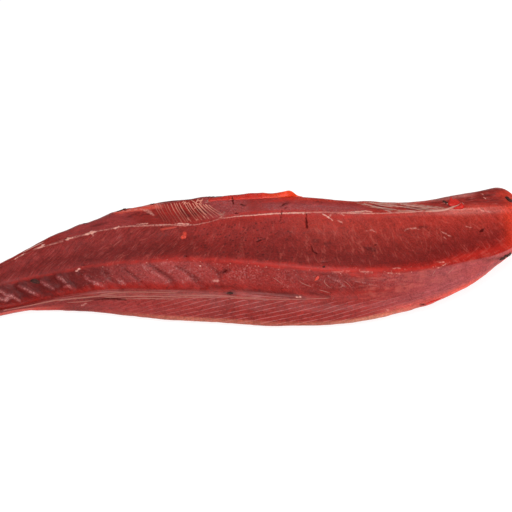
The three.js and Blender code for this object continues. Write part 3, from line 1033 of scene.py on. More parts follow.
class Graph:
    """A material's nodes, made by short calls."""

    def __init__(self, name):
        self.material = bpy.data.materials.new(name)
        self.material.use_nodes = True
        self.nodes = self.material.node_tree.nodes
        self.links = self.material.node_tree.links
        self.shader = self.nodes["Principled BSDF"]

    def feed(self, socket, value):
        if isinstance(value, Wire):
            self.links.new(value.socket, socket)
        elif value is not None:
            socket.default_value = value

    def node(self, kind, output=0, settings=None, **inputs):
        made = self.nodes.new(kind)
        for key, value in (settings or {}).items():
            setattr(made, key, value)
        for key, value in inputs.items():
            self.feed(made.inputs[key.replace("_", " ")], value)
        return Wire(self, made.outputs[output])

    def math(self, operation, *values):
        made = self.nodes.new("ShaderNodeMath")
        made.operation = operation
        for socket, value in zip(made.inputs, values):
            self.feed(socket, value)
        return Wire(self, made.outputs[0])

    def value(self, name):
        """A per-vertex value of the mesh."""
        return self.node("ShaderNodeAttribute", "Fac", {"attribute_name": name})

    def colour(self, name):
        return self.node("ShaderNodeAttribute", "Color", {"attribute_name": name})

    def place(self):
        return self.node("ShaderNodeTexCoord", "Object")

    def vector(self, x, y, z=0.0):
        return self.node("ShaderNodeCombineXYZ", X=x, Y=y, Z=z)

    def noise(self, vector, size, detail=2.0, rough=0.5):
        """Noise of 0 to 1 with bumps of a size in the vector's own unit."""
        inputs = {"Vector": vector, "Scale": 1 / size, "Detail": detail, "Roughness": rough}
        return self.node("ShaderNodeTexNoise", "Fac", **inputs)

    def cells(self, spacing):
        """Distance from the middle of the nearest cell, as a share of the cells' size."""
        return self.node("ShaderNodeTexVoronoi", "Distance", Vector=self.place(), Scale=1 / spacing)

    def step(self, value, start, end, low=0.0, high=1.0):
        """Smooth step of a value, from low at start to high at end."""
        made = self.nodes.new("ShaderNodeMapRange")
        made.interpolation_type = "SMOOTHSTEP"
        inputs = {"Value": value, "From Min": start, "From Max": end, "To Min": low, "To Max": high}
        for key, number in inputs.items():
            self.feed(made.inputs[key], number)
        return Wire(self, made.outputs[0])

    def larger(self, a, b):
        return self.math("MAXIMUM", a, b)

    def off_line(self, count):
        """Distance from the nearest line, where count passes each whole number and a half."""
        return self.math("ABSOLUTE", self.math("FRACT", count) - 0.5)

    def blend(self, share, base, colour, how="MIX"):
        """The base colour with a share of another colour over it."""
        made = self.nodes.new("ShaderNodeMix")
        made.data_type = "RGBA"
        made.blend_type = how
        made.clamp_factor = True
        self.feed(made.inputs["Factor"], share)
        for key, value in (("A", base), ("B", colour)):
            socket = next(s for s in made.inputs if s.name == key and s.type == "RGBA")
            self.feed(socket, value if isinstance(value, Wire) else (*value, 1))
        output = next(s for s in made.outputs if s.type == "RGBA")
        return Wire(self, output)

    def shaded(self, base, shade):
        """The base colour times a grey shade."""
        return self.blend(1.0, base, self.vector(shade, shade, shade), "MULTIPLY")

    def bumps(self, height, distance, strength):
        inputs = {"Height": height, "Distance": distance, "Strength": strength}
        return self.node("ShaderNodeBump", "Normal", **inputs)

    def finish(self, **sockets):
        for key, value in sockets.items():
            self.feed(self.shader.inputs[key.replace("_", " ")], value)
        return self.material


# What wet flesh and tissue share: light that sinks in a little, and a thin moist gloss.
MOIST = {
    "Subsurface_Weight": 0.25,
    "Subsurface_Radius": (1.0, 0.25, 0.15),
    "Subsurface_Scale": 3 * MM,
    "Coat_Weight": 0.05,
    "Coat_Roughness": 0.2,
    "Specular_IOR_Level": 0.18,
}


# Noises of the flesh: size of the bumps, detail and roughness.
FINE = (2.2 * MM, 3.0, 0.6)
COARSE = (9 * MM, 2.0)
RAGGED = (2.6 * MM, 3.0, 0.65)
SPECKLES = (1.6 * MM, 2.0, 0.6)
MICRO = (1.1 * MM, 2.0, 0.6)
SKIN_FILM = (28 * MM, 4.0, 0.6)
SKIN_REMNANTS = (20 * MM, 5.0, 0.6)
RAGGED_REACH = 4.0  # of the edges of marks, in millimetres

# Noises drawn out along the grain: bumps for each millimetre across and along it.
FIBRE_SCALE = (0.75, 0.13)
STREAK_SCALE = (0.36, 0.045)
STRAND_SCALE = (1.4, 0.02)

# Pits, painted dark, and sparkles, painted glints: the size of the cells that they lie in, and their
# edge as shares of a cell.
PORE_SPACING = 4.2 * MM
PORE_EDGE = (0.17, 0.3)
SPARKLE_SPACING = 3.6 * MM
SPARKLE_EDGE = (0.1, 0.2)


class Flesh(Graph):
    """The flesh's material: its colour so far, and the noises that its layers share."""

    def __init__(self):
        super().__init__("wet_flesh")
        where = self.place()
        self.fine = self.noise(where, *FINE)
        self.coarse = self.noise(where, *COARSE)
        self.ragged = (self.noise(where, *RAGGED) - 0.5) * RAGGED_REACH
        self.speckle = self.step(self.noise(where, *SPECKLES), 0.42, 0.68)
        self.fibres = self.drawn_out("grain_across", "grain_along", FIBRE_SCALE, 3.0, 0.55)
        self.base = self.colour("tint")

    def drawn_out(self, across, along, scale, detail=2.0, rough=0.5):
        """Noise drawn out along a direction, from the values across and along it."""
        stretched = self.vector(self.value(across) * scale[0], self.value(along) * scale[1])
        return self.noise(stretched, 1.0, detail, rough)

    def cover(self, share, colour):
        """Lays a colour over a share of the flesh."""
        self.base = self.blend(share, self.base, colour)

    def mark(self, name, wobble, start, end):
        """How far inside a mark, from 0 at start to 1 at end, with a ragged edge."""
        return self.step(self.value(name) + self.ragged * wobble, start, end)

    def patches(self, start, end, low, high=1.0):
        """Broad patches, from low to high."""
        return self.step(self.coarse, start, end, low, high)


def add_grain(g):
    """Fibres: noise drawn out along the grain, stronger where the grain shows."""
    share = g.value("grain_share")
    patches = g.patches(0.36, 0.62, 0.15)
    dark = g.step(g.fibres, 0.3, 0.5, 1.0, 0.0) * patches
    streaks = g.drawn_out("grain_across", "grain_along", STREAK_SCALE)
    micro = g.noise(g.place(), *MICRO)
    shade = 1.0 - dark * 0.25 + (g.fine - 0.5) * 0.9 + (g.coarse - 0.5) * 0.6
    shade = shade + (micro - 0.5) * 0.8 + (streaks - 0.5) * share * 3.2
    g.base = g.shaded(g.base, shade)
    g.cover(g.step(g.fibres, 0.5, 0.72) * patches * share, FIBRE)


def add_layer_lines(g):
    """Pale lines of connective tissue between the muscle layers."""
    off_line = g.off_line(g.value("layer_phase") + (g.coarse - 0.5) * 0.3)
    broken = g.step(g.coarse + (g.fine - 0.5) * 0.4, 0.34, 0.54, 0.3, 1.0)
    line = g.step(off_line, 0.01, 0.11, 1.0, 0.0) * broken
    g.cover(line * g.value("layer_share"), SPECKLE)


def add_skin_side(g):
    """Muscle layers in zigzags, silvery film, and the last of the dark skin."""
    where, share = g.place(), g.value("skin_side")
    zigzag = g.step(g.off_line(g.value("zigzag") + g.coarse * 0.5), 0.03, 0.16, 0.45, 0.0)
    film = g.step(g.noise(where, *SKIN_FILM), 0.42, 0.66, 0.0, 0.55)
    film = film * g.step(g.fine, 0.25, 0.55, 0.5, 1.0)
    g.cover(g.larger(zigzag, film) * share, SILVER)
    remnant = g.step(g.noise(where, *SKIN_REMNANTS) + g.ragged * 0.02, 0.64, 0.66)
    g.cover(remnant * share * 0.9, SKIN)


def add_painted_sheen(g):
    """Painted highlights: moist film on the lobes, in fine speckles, and a thinner haze of sheen; gives
    the film.
    """
    wet = g.larger(g.value("film"), g.value("crest"))
    film = g.step(wet + g.ragged * 1.1, -1.4, 1.6) * g.patches(0.36, 0.56, 0.5)
    haze = g.value("haze") * g.speckle
    g.cover(g.larger(film * (0.15 + g.speckle * 0.85) * 0.85, haze), SPECKLE)
    return film


def add_brights(g):
    """Painted light: bright red bands of glow along the ridges, and glints as sparkles on the wet ridge
    and lobes.
    """
    g.cover(g.mark("bright", 0.9, -2.4, 1.8) * g.patches(0.35, 0.6, 0.5) * 0.65, BRIGHT_RED)
    edge = g.cells(SPARKLE_SPACING) + g.ragged * 0.06
    g.cover(g.step(edge, *SPARKLE_EDGE, 1.0, 0.0) * g.value("sparkles"), PALE)


def add_veils(g):
    """A greyish veil on the top strip, streaked along the grain, and strands on the lip."""
    veil = g.mark("veil", 0.5, -1.4, 1.4) * g.step(g.fibres, 0.42, 0.58, 0.15, 1.0)
    g.cover(veil * 0.8, VEIL)
    strands = g.drawn_out("off_lip", "grain_along_lip", STRAND_SCALE)
    g.cover(g.step(strands, 0.48, 0.66) * g.value("lip_share"), SPECKLE)


def add_pale_tissue_and_glints(g):
    """The seam on the upper ridge, the patches of tissue with the painted glints among them, and the
    hairs; gives the tissue.
    """
    off_seam = g.math("ABSOLUTE", g.value("off_pale") + g.ragged * 0.5)
    seam = g.step(g.value("seam_width") - off_seam, -0.6, 0.4) * g.value("seam_share")
    seam = seam * g.step(g.coarse + (g.fine - 0.5) * 0.6, 0.34, 0.54, 0.6, 1.0)
    faint = g.mark("faint", 0.6, -0.9, 0.6) * g.step(g.fine, 0.35, 0.6, 0.15, 0.55)
    pale = g.larger(g.larger(seam, g.mark("tissue", 0.7, -0.5, 0.4)), faint)
    g.cover(pale * g.step(g.fine, 0.2, 0.6, 0.6, 1.0), PALE)
    g.cover(g.mark("hair", 0.3, -0.8, 0.4) * g.patches(0.35, 0.6, 0.05, 0.34), HAIR)
    return pale


def add_dark_marks(g):
    """Slits, pits and bruises: painted shade in the slits and pits, and the dark red of bruises; gives
    the slits and the pits.
    """
    dark = g.mark("dark", 0.5, -0.6, 0.4)
    pore = g.step(g.cells(PORE_SPACING) + g.ragged * 0.1, *PORE_EDGE, 1.0, 0.0)
    pore = pore * g.value("pores")
    g.cover(g.larger(dark * 0.95, pore), DARKEST_RED)
    return dark, pore


def flesh_material():
    """Wet flesh: all its layers of colour, with painted glow, highlights and shade among them, a moist
    sheen, and relief from the same fields.
    """
    g = Flesh()
    add_grain(g)
    add_layer_lines(g)
    add_skin_side(g)
    film = add_painted_sheen(g)
    add_brights(g)
    add_veils(g)
    pale = add_pale_tissue_and_glints(g)
    dark, pore = add_dark_marks(g)
    raised = g.fibres * 0.5 + g.fine * 0.5 + pale * 0.5 + g.speckle * film * 0.5
    return g.finish(
        Base_Color=g.base,
        Roughness=g.step(g.fine, 0.2, 0.8, 0.34, 0.6) - pale * 0.1,
        Normal=g.bumps(raised - dark * 0.6 - pore, 0.5 * MM, 0.6),
        **dict(MOIST, Specular_IOR_Level=g.value("gloss") * (1.0 - dark * 0.8)),
    )


def tissue_material(name, pale, soft=0.25):
    """Strands and flaps whose colour goes from the flesh under them to a pale one."""
    g = Graph(name)
    cloudy = g.noise(g.place(), 2 * MM, 3.0, 0.6)
    share = g.value("share") * g.step(cloudy, 0.2, 0.6, 0.55, 1.0)
    return g.finish(
        Base_Color=g.blend(share, g.colour("tint"), pale),
        Roughness=g.step(cloudy, 0.2, 0.8, 0.3, 0.5),
        Normal=g.bumps(cloudy, 0.3 * MM, 0.4),
        **dict(MOIST, Subsurface_Weight=soft),
    )


def scrap_material(name, colour, other, roughness, soft=0.25, gloss=0.18):
    """Small scraps of one colour, mottled with another; soft is the share of light that sinks in."""
    g = Graph(name)
    mottle = g.noise(g.place(), 1.6 * MM, 3.0, 0.65)
    return g.finish(
        Base_Color=g.blend(g.step(mottle, 0.35, 0.65), colour, other),
        Roughness=g.step(mottle, 0.2, 0.8, roughness, roughness + 0.2),
        Normal=g.bumps(mottle, 0.4 * MM, 0.7),
        **dict(MOIST, Subsurface_Weight=soft, Specular_IOR_Level=gloss),
    )


# ---- the loin -------------------------------------------------------------------------


# How much the grain shows on each face: the part of the face, then (x, share) stops.
GRAIN_SHARES = (
    ((0.05, 0.95), ((-120, 0.1), (150, 0.12), (210, 0.4))),
    ((1.05, 1.95), ((-230, 0.32), (-60, 0.22), (-10, 0.1), (90, 0.1), (170, 0.14))),
    ((2.1, 3.4), ((-60, 0.1), (0, 0.14), (110, 0.14), (125, 0.15), (200, 0.2))),
    ((3.6, 5), ((-120, 0.15), (0, 0.08), (110, 0.12), (180, 0.2))),
)


def grain_fields(loft):
    """Coordinates across and along the muscle's grain, and how much the grain shows."""
    x, face, down = loft.x, loft.face, loft.off["pale"]
    slope = np.where(face > 2, TROUGH_SLOPE, loft.level(*GRAIN_SLOPES))
    blunt = (face > 2) & (x > BLUNT_X)
    lengthwise = (face < 0.95) | (face > 3.5) | blunt
    rise = np.where(face < 0.95, STRIP_RISE, LOWER_RISE)
    across = np.where(blunt, BLUNT_GRAIN * face, down - rise * x)
    wobble = 3.5 * noise(loft.points, 32) + 0.8 * noise(loft.points, 9)
    share = sum(loft.on_face(*face) * loft.level(*stops) for face, stops in GRAIN_SHARES)
    return {
        "grain_across": np.where(lengthwise, across, x - slope * down) + wobble,
        "grain_along": np.where(lengthwise, x, down),
        "grain_along_lip": x,
        "grain_share": share,
    }


def line_fields(loft):
    """The muscle layers' lines, the seam on the pale ridge and the strands on the lip."""
    x = loft.x
    count = np.cumsum(np.gradient(x[:, 0]) * along(LAYER_RATES, x[:, 0]))[:, None]
    return {
        "layer_phase": count + loft.off["lip"] / loft.level(*LAYER_SPACINGS),
        "layer_share": loft.on_face(4.1, 5.2) * loft.level(*LAYER_STRENGTHS),
        "zigzag": (x + ZIGZAG_REACH * np.abs(loft.face - ZIGZAG_MIDDLE)) / ZIGZAG_PITCH,
        "skin_side": loft.on_face(5.9, 8.9, 0.35) * loft.stretch(-288, 284, 15),
        "off_pale": loft.off["pale"] - loft.level(*SEAM_DROPS),
        "seam_width": loft.level(*SEAM_WIDTHS),
        "seam_share": loft.level(*SEAM_STRENGTHS),
        "off_lip": loft.off["lip"],
        "lip_share": loft.on_face(3.45, 4.05, 0.1) * loft.stretch(-180, 40, 50) * 0.4,
    }


# Strength along the loin of the painted sheen in the trough, of the painted glints on the red ridge,
# and of the pits.
HAZE = ((-170, 0), (-110, 0.16), (-40, 0.2), (-10, 0.28), (30, 0.22), (60, 0.1), (180, 0.15))
RIDGE_SPARKLES = ((-170, 0), (-130, 0.35), (30, 0.3), (60, 0.2), (110, 1), (200, 1), (240, 0))
PORES = ((-42, 0), (-22, 0.65), (30, 0.65), (66, 0.4), (90, 0))


def wet_fields(loft):
    """Gloss; the painted sheen of the haze; the painted glints of the sparkles; and the pits, painted
    dark as their shade.
    """
    gloss = 0.18 - 0.12 * loft.on_face(2.1, 3.2) * loft.level((120, 1), (200, 0))
    gloss -= 0.1 * loft.on_face(1.1, 1.95) * smooth(80, 220, loft.x)
    patch = 0.4 + 0.6 * smooth(-0.3, 0.6, noise(loft.points, 12))
    haze = loft.on_face(2.15, 2.75) * loft.level(*HAZE) * patch
    haze += loft.on_face(0.25, 0.9) * loft.stretch(-14, 20, 12) * 0.22 * patch
    haze += loft.on_face(0.6, 0.92) * loft.stretch(50, 120, 25) * 0.25
    sparkles = loft.on_face(2.12, 2.8) * loft.stretch(-130, 60, 40) * 0.16
    sparkles += bell(2.08, 0.09, loft.face) * loft.level(*RIDGE_SPARKLES) * 0.9
    pores = loft.on_face(1.15, 1.9, 0.08) * loft.level(*PORES)
    return {"gloss": gloss, "haze": haze, "sparkles": sparkles, "pores": pores}


def make_loin(loft, marks, tint):
    """The loin's own surface, with every field that its material reads."""
    loin = new_piece("loin_flesh", loft.vertices(), loft.faces(), flesh_material())
    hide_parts("tuna_loin")
    fields = {"tint": tint, **marks, **grain_fields(loft), **line_fields(loft), **wet_fields(loft)}
    for name, values in fields.items():
        add_attribute(loin.data, name, loft.per_vertex(values))


# ---- small pieces ---------------------------------------------------------------------

PATH_STEP = 1.0  # pixels of the photo between the rows of a path
OUTLINE_STEP = 0.8  # and between the points round a mound
TUBE_SIDES = 8
TUBE_FLANK = 0.45  # of the crest's colour share
TAPER_ROWS = 3  # over which a strand's colour comes in at each end
MOUND_RINGS = 5
RIM_SINK = 0.35  # of a mound, into the surface
ROUGH_SIZE = 2.5  # of the bumps on a rough mound


def curve_through(stops, step, closed=False):
    """Rows on a smooth curve through the stops, about a step apart in their first two values."""
    stops = [np.array(stop, float) for stop in stops]
    if closed:
        ring = [stops[-1], *stops, stops[0], stops[1]]
    else:
        ring = [2 * stops[0] - stops[1], *stops, 2 * stops[-1] - stops[-2]]
    rows = []
    for before, a, b, after in zip(ring, ring[1:], ring[2:], ring[3:]):
        count = max(1, round(np.linalg.norm((b - a)[:2]) / step))
        second = 2 * before - 5 * a + 4 * b - after
        third = 3 * a - before - 3 * b + after
        for t in np.arange(count) / count:
            rows.append(0.5 * (2 * a + (b - before) * t + second * t**2 + third * t**3))
    if not closed:
        rows.append(stops[-1])
    return np.array(rows)


def lay(surface, rows, lift):
    """A path on the surface under rows that begin with (u, v), lifted a little, and its normals."""
    found = [surface.under_pixel(*row[:2]) for row in rows]
    normals = np.array([normal for _, normal in found])
    return np.array([place for place, _ in found]) + normals * lift[:, None], normals


class Bits:
    """Collects the closed shapes of one piece, with their colour shares."""

    def __init__(self, tint_at):
        self.tint_at = tint_at
        self.vertices, self.faces, self.shares = [], [], []

    def tube(self, path, normals, halves, flatness, share):
        """A flattened tube along a path, which thins to a point at both ends."""
        sides = unit(np.cross(unit(np.gradient(path, axis=0)), normals))
        first, count = len(self.vertices), len(path)
        for k in range(1, count - 1):
            for j in range(TUBE_SIDES):
                angle = 2 * math.pi * j / TUBE_SIDES
                out = sides[k] * math.cos(angle) + normals[k] * math.sin(angle) * flatness
                self.vertices.append(path[k] + out * halves[k])
                crest = max(0.0, math.sin(angle)) ** 2
                self.shares.append(share[k] * (TUBE_FLANK + (1 - TUBE_FLANK) * crest))
        last = first + (count - 2) * TUBE_SIDES
        self.vertices += [path[0], path[-1]]
        self.shares += [0.0, 0.0]
        for j in range(TUBE_SIDES):
            nxt = (j + 1) % TUBE_SIDES
            for k in range(first, last - TUBE_SIDES, TUBE_SIDES):
                self.faces.append((k + j, k + TUBE_SIDES + j, k + TUBE_SIDES + nxt, k + nxt))
            self.faces.append((last, first + j, first + nxt))
            end = last - TUBE_SIDES
            self.faces.append((last + 1, end + nxt, end + j))

    def strand(self, surface, mark, strength, flatness=0.5, sunk=0.1):
        """A strand laid on the surface along a mark of (u, v, half width)."""
        rows = curve_through(mark, PATH_STEP)
        path, normals = lay(surface, rows, -rows[:, 2] * sunk)
        index = np.arange(len(rows))
        fade = np.minimum(1, np.minimum(index, index[::-1]) / TAPER_ROWS)
        self.tube(path, normals, rows[:, 2], flatness, strength * fade)

    def mound(self, surface, outline, height, share, rough):
        """A low closed mound over an outline, sunk a little into the surface at its rim."""
        border = curve_through(outline, OUTLINE_STEP, closed=True)
        middle = border.mean(0)
        first, around = len(self.vertices), len(border)
        for ring in range(MOUND_RINGS):
            out = 1 - ring / MOUND_RINGS
            lift = height * math.sqrt(1 - out**2) - RIM_SINK * (ring == 0)
            for row in middle + (border - middle) * out:
                place, normal = surface.under_pixel(*row)
                bumpy = 1 + rough * noise(place, ROUGH_SIZE)
                self.vertices.append(place + normal * lift * bumpy)
                self.shares.append(share * min(1.0, 0.4 + ring / 3))
        place, normal = surface.under_pixel(*middle)
        self.vertices += [place + normal * height, place - normal * 2 * RIM_SINK]
        self.shares += [share, share]
        top = first + MOUND_RINGS * around
        start, quarter, half = (self.vertices[first + around * k // 4] for k in (0, 1, 2))
        flip = np.cross(quarter - start, half - start) @ normal < 0
        for j in range(around):
            nxt = (j + 1) % around
            a, b = (nxt, j) if flip else (j, nxt)
            for ring in range(MOUND_RINGS - 1):
                low = first + ring * around
                self.faces.append((low + a, low + b, low + around + b, low + around + a))
            self.faces.append((top - around + a, top - around + b, top))
            self.faces.append((first + b, first + a, top + 1))

    def make(self, name, material):
        piece = new_piece(name, self.vertices, self.faces, material)
        tints = np.array([self.tint_at(place) for place in self.vertices])
        add_attribute(piece.data, "tint", tints)
        add_attribute(piece.data, "share", np.array(self.shares)[:, None])


# The comb of sinews where the fin rays were: its first and last sinew, from top to bottom.
COMB_FIRST = ((154.5, 204.5), (157.5, 212), (164.5, 222.3))
COMB_LAST = ((208, 204.5), (214.5, 209.5), (224.5, 215))
COMB_RISE = 2.6  # pixels by which the middle sinews start higher
COMB_SAG = 3.4  # and end lower
COMB_SINEWS = 18
COMB_HALF = (0.35, 0.7)
COMB_LIFT = (-0.1, 0.25)  # over the surface: at the ends, and in the middle
COMB_SPREAD = 0.35  # of the spacing, by which each sinew strays at random
COMB_PALENESS = (0.75, 1.25)  # random factor of each sinew's colour share
COMB_TANGLE = (
    ((181, 204.5, 0.4), (183.5, 202, 0.6), (187, 203.5, 0.5), (190, 201, 0.3)),
    ((182.5, 206, 0.3), (184.5, 203, 0.6), (186.5, 201, 0.4)),
    ((190, 199.5, 0.3), (194, 202, 0.6), (198, 204, 0.5), (202, 202, 0.3)),
    ((193, 201, 0.3), (196, 203, 0.6), (198, 199.5, 0.6), (201, 198, 0.3)),
    ((196, 200, 0.4), (200, 201, 0.7), (204, 199, 0.4)),
    ((199, 204, 0.4), (201.5, 201, 0.7), (203.5, 197.5, 0.3)),
    ((200, 199, 0.3), (201, 203, 0.6), (201.5, 206, 0.3)),
    ((193.5, 210, 0.3), (195.5, 207.5, 0.5), (198, 206, 0.3)),
    ((196.5, 204, 0.3), (200, 208.5, 0.5), (204, 213, 0.5), (208, 216, 0.3)),
)
COMB_ENDS = (
    ((186.5, 217, 0.4), (188, 219, 0.7), (189.8, 221, 0.4)),
    ((195.5, 219, 0.4), (197, 219.8, 0.8), (198.5, 220.5, 0.4)),
    ((202, 215, 0.4), (204, 217, 0.7), (206, 219.5, 0.4)),
    ((209.5, 214, 0.4), (211, 215.5, 0.7), (212.5, 217.5, 0.4)),
    ((218, 218, 0.3), (221, 217.5, 0.6), (223, 215.5, 0.3)),
)

LIP_STRANDS = (
    ((2, 310.5, 0.4), (20, 307.5, 0.6), (36, 304.2, 0.6), (52, 301, 0.7), (66, 299, 0.5)),
    ((58, 301, 0.4), (72, 298.6, 0.8), (84, 297.6, 0.8), (100, 296.2, 0.6), (118, 295.8, 0.4)),
    ((66, 302.5, 0.3), (80, 301.8, 0.5), (94, 300.4, 0.4)),
    ((98, 295.2, 0.4), (112, 293.2, 0.7), (130, 292, 0.6), (156, 292.2, 0.5), (178, 293, 0.4)),
    ((104, 297.5, 0.4), (126, 296.6, 0.7), (150, 296.4, 0.6), (182, 297, 0.5), (214, 297.6, 0.3)),
    ((120, 299, 0.3), (146, 298.6, 0.5), (176, 299, 0.4)),
    ((176, 295, 0.3), (210, 295.6, 0.5), (240, 297.2, 0.4), (262, 297.6, 0.3)),
    ((228, 298, 0.3), (262, 299, 0.5), (300, 299.2, 0.4), (330, 298, 0.3)),
)

# Fine threads that lie loose on the trough.
THREADS = (
    ((272, 277, 0.3), (276, 279.5, 0.4), (283, 284.5, 0.2)),
    ((298, 280, 0.2), (303, 283.5, 0.4), (313, 287.5, 0.3)),
    ((318, 289.6, 0.3), (325, 291.4, 0.4), (331, 293.5, 0.2)),
    ((326, 277, 0.3), (324.5, 282, 0.45), (328, 286, 0.45), (332, 288.5, 0.2)),
    ((333, 296, 0.2), (333.5, 298, 0.35), (331, 301, 0.2)),
    ((338, 288, 0.3), (342, 286.5, 0.6), (345, 284.5, 0.3)),
    ((342, 280.5, 0.2), (347, 283, 0.35), (352, 288, 0.2)),
    ((447, 275, 0.3), (451, 270.5, 0.5), (455, 267, 0.3)),
    ((432, 276, 0.3), (434, 272.5, 0.45), (436, 269, 0.3)),
)

STRIP_FASCIA = (
    ((362, 202.5, 0.5), (372, 206, 0.9), (388, 208.5, 0.8), (398, 210, 0.4)),
    ((368, 202, 0.5), (380, 205, 0.8), (394, 207, 0.6)),
    ((380, 202.5, 0.4), (392, 205.5, 0.8), (404, 207, 0.9), (416, 209, 0.7), (426, 211.5, 0.3)),
    ((383, 210, 0.4), (388, 211, 0.8), (393, 213, 0.4)),
    ((398, 203, 0.4), (410, 205.5, 1.1), (424, 207, 1.0), (440, 208.5, 0.6)),
    ((404, 210, 0.4), (414, 211, 0.8), (424, 211.5, 0.5)),
    ((346, 211.8, 0.4), (356, 212.3, 0.7), (366, 211.8, 0.4)),
)
MEMBRANE = (
    ((424, 211.5, 0.6), (434, 211, 1.4), (446, 209.5, 1.3), (454, 206.5, 1.0), (462, 204, 0.5)),
    ((443, 202.5, 0.4), (448, 204, 0.7), (453, 206.5, 0.5)),
    ((454, 206.8, 0.3), (458.5, 204.4, 0.7), (462.5, 203, 0.6), (464.5, 205.5, 0.2)),
    ((22, 253, 0.4), (33, 247, 0.8), (45, 241.5, 0.4)),
)

RED_BITS = (
    ((447.5, 204.5), (448.5, 200.5), (450.3, 196.6), (452.5, 199.5), (456, 198.8), (459.8, 201),
     (460.5, 203.8), (456, 206), (451, 206.5)),
    ((453, 208.8), (457, 206.5), (461, 203), (463.2, 203.4), (465.5, 207), (462, 209.2), (457, 209.4)),
)
CRUMBS = (
    ((183, 231.6), (186.2, 232), (186.8, 236), (184.8, 239.4), (182.8, 236)),
    ((180.6, 237.2), (183, 235), (184.3, 238.4), (181.6, 239.4)),
    ((314.2, 281), (315.8, 277.5), (318.5, 275.6), (319.4, 278), (316.8, 280.4)),
)
SLIVER = (
    (158.5, 229), (164, 227.5), (172, 226.5), (178.5, 225.8), (176, 228), (168, 229.5), (161, 230.8)
)
TORN_EDGE = ((424, 304.6, 0.4), (430, 302.4, 1.0), (437, 299.8, 0.9), (443, 297, 0.3))
BARB = ((35, 308.5, 0.5), (35.6, 310.5, 0.5), (36, 312, 0.3))

SKIN_SCRAPS = (
    ((29.6, 281), (33, 278.6), (37.5, 279.4), (40.5, 283), (37, 284), (32.5, 282.8)),
    ((499, 260.5), (500.5, 257.8), (503, 257), (505, 254.6), (508, 254.4), (511, 252),
     (512, 254.2), (508, 256.8), (505.5, 256.8), (503, 260)),
    ((504.5, 197.2), (506, 196), (508.5, 197.2), (510, 199.5), (512.5, 200.5), (511.6, 202.6),
     (508, 201)),
    ((322, 267), (323.5, 265.8), (325.6, 266.2), (324, 267.8)),
    ((226, 293.2), (228.5, 291.8), (232, 292), (234, 293.2), (231, 294.6), (228, 294.4)),
    ((442, 201), (444.5, 200.5), (448, 203), (446, 204)),
)
SKIN_EDGE = (
    ((82, 222.6, 0.2), (85, 221.6, 0.9), (88, 220.8, 0.2)),
    ((116, 211, 0.4), (120, 209.8, 1.5), (125, 208.4, 1.2), (132, 206.8, 0.2)),
    ((134, 206.2, 0.1), (139, 205.4, 0.4), (146, 204.2, 0.1)),
    ((149.5, 203.2, 0.4), (152, 203.2, 0.9), (155, 203, 0.4)),
    ((158, 202.4, 0.1), (168, 201, 0.35), (178, 200, 0.1)),
    ((182, 199.6, 0.1), (190, 198.8, 0.4), (200, 197.8, 0.2)),
    ((204, 197.4, 0.4), (210, 196.2, 0.9), (220, 195.2, 0.9), (232, 195, 0.5), (240, 194.8, 0.3)),
)

# A dark strand of skin colour, standing in for the shade inside a slit that crosses the bright
# membrane, raised over it by this share of its width.
CLEFT = ((231.6, 196.2, 0.3), (232.3, 199.5, 0.5), (233.2, 202.8, 0.3))
CLEFT_RAISED = 2.5

# The thin bright membrane on the top edge.
FLAP_FOOT = ((208, 202), (220, 200.5), (235, 200), (255, 199.2), (275, 198), (290, 197.2), (303, 196.8))
FLAP_TOP = (
    (208, 199), (220, 196.6), (235, 195), (252, 193.2), (266, 193), (273, 193.4), (281, 192.2),
    (289, 190.3), (292.5, 191.4), (296, 194.6), (299, 196.4), (303, 197.2),
)
FLAP_GLOW = (252, 285)  # its painted orange glow comes in between these columns of the photo
FLAP_LEVELS = np.linspace(0, 1, 6)
FLAP_THICK = 0.5
FLAP_RIPPLE = np.array((0, -0.175, 0.35))  # at the flap's top
FLAP_SMOOTHING = (1, 2, 3, 2, 1)  # weights of neighbouring columns


def make_comb(surface, tint_at):
    """Thin sinews over the hollow, with their tangled tops and white ends."""
    rng = np.random.default_rng(SEED)
    bits = Bits(tint_at)
    for k in range(COMB_SINEWS):
        share = (k + rng.uniform(-COMB_SPREAD, COMB_SPREAD)) / (COMB_SINEWS - 1)
        share = min(max(share, 0.0), 1.0)
        half = rng.uniform(*COMB_HALF)
        stops = np.array(COMB_FIRST) * (1 - share) + np.array(COMB_LAST) * share
        rows = curve_through(stops, PATH_STEP)
        t = np.linspace(0, 1, len(rows))
        rows[:, 1] += math.sin(math.pi * share) * (COMB_SAG * t - COMB_RISE * (1 - t))
        lift = COMB_LIFT[0] + (COMB_LIFT[1] - COMB_LIFT[0]) * np.sin(np.pi * t)
        path, normals = lay(surface, rows, lift)
        pale = (1 - 0.65 * smooth(0.1, 0.8, t)) * (0.3 + 0.65 * smooth(0.1, 0.5, share))
        pale *= rng.uniform(*COMB_PALENESS)
        halves = np.full(len(rows), half * (0.8 + 0.4 * share))
        bits.tube(path, normals, halves, 0.6, pale)
    for mark in (*COMB_TANGLE, *COMB_ENDS):
        bits.strand(surface, mark, 0.95, 0.7, -0.2)
    bits.make("fin_sinews", tissue_material("cream_sinew", linear(240, 158, 136), soft=0.05))


def make_strands(surface, tint_at):
    """Strands and membranes that lie on the surface, and the loose threads among them."""
    groups = (
        ("lip_strands", ((LIP_STRANDS, 0.6), (THREADS, 0.5)), "strand_tissue", (190, 126, 112)),
        ("strip_fascia", ((STRIP_FASCIA, 0.8),), "strip_tissue", (200, 152, 140)),
        ("torn_membrane", ((MEMBRANE, 0.95),), "grey_membrane", (206, 156, 142)),
    )
    for name, sets, material, colour in groups:
        bits = Bits(tint_at)
        for marks, strength in sets:
            for mark in marks:
                bits.strand(surface, mark, strength)
        bits.make(name, tissue_material(material, linear(*colour)))


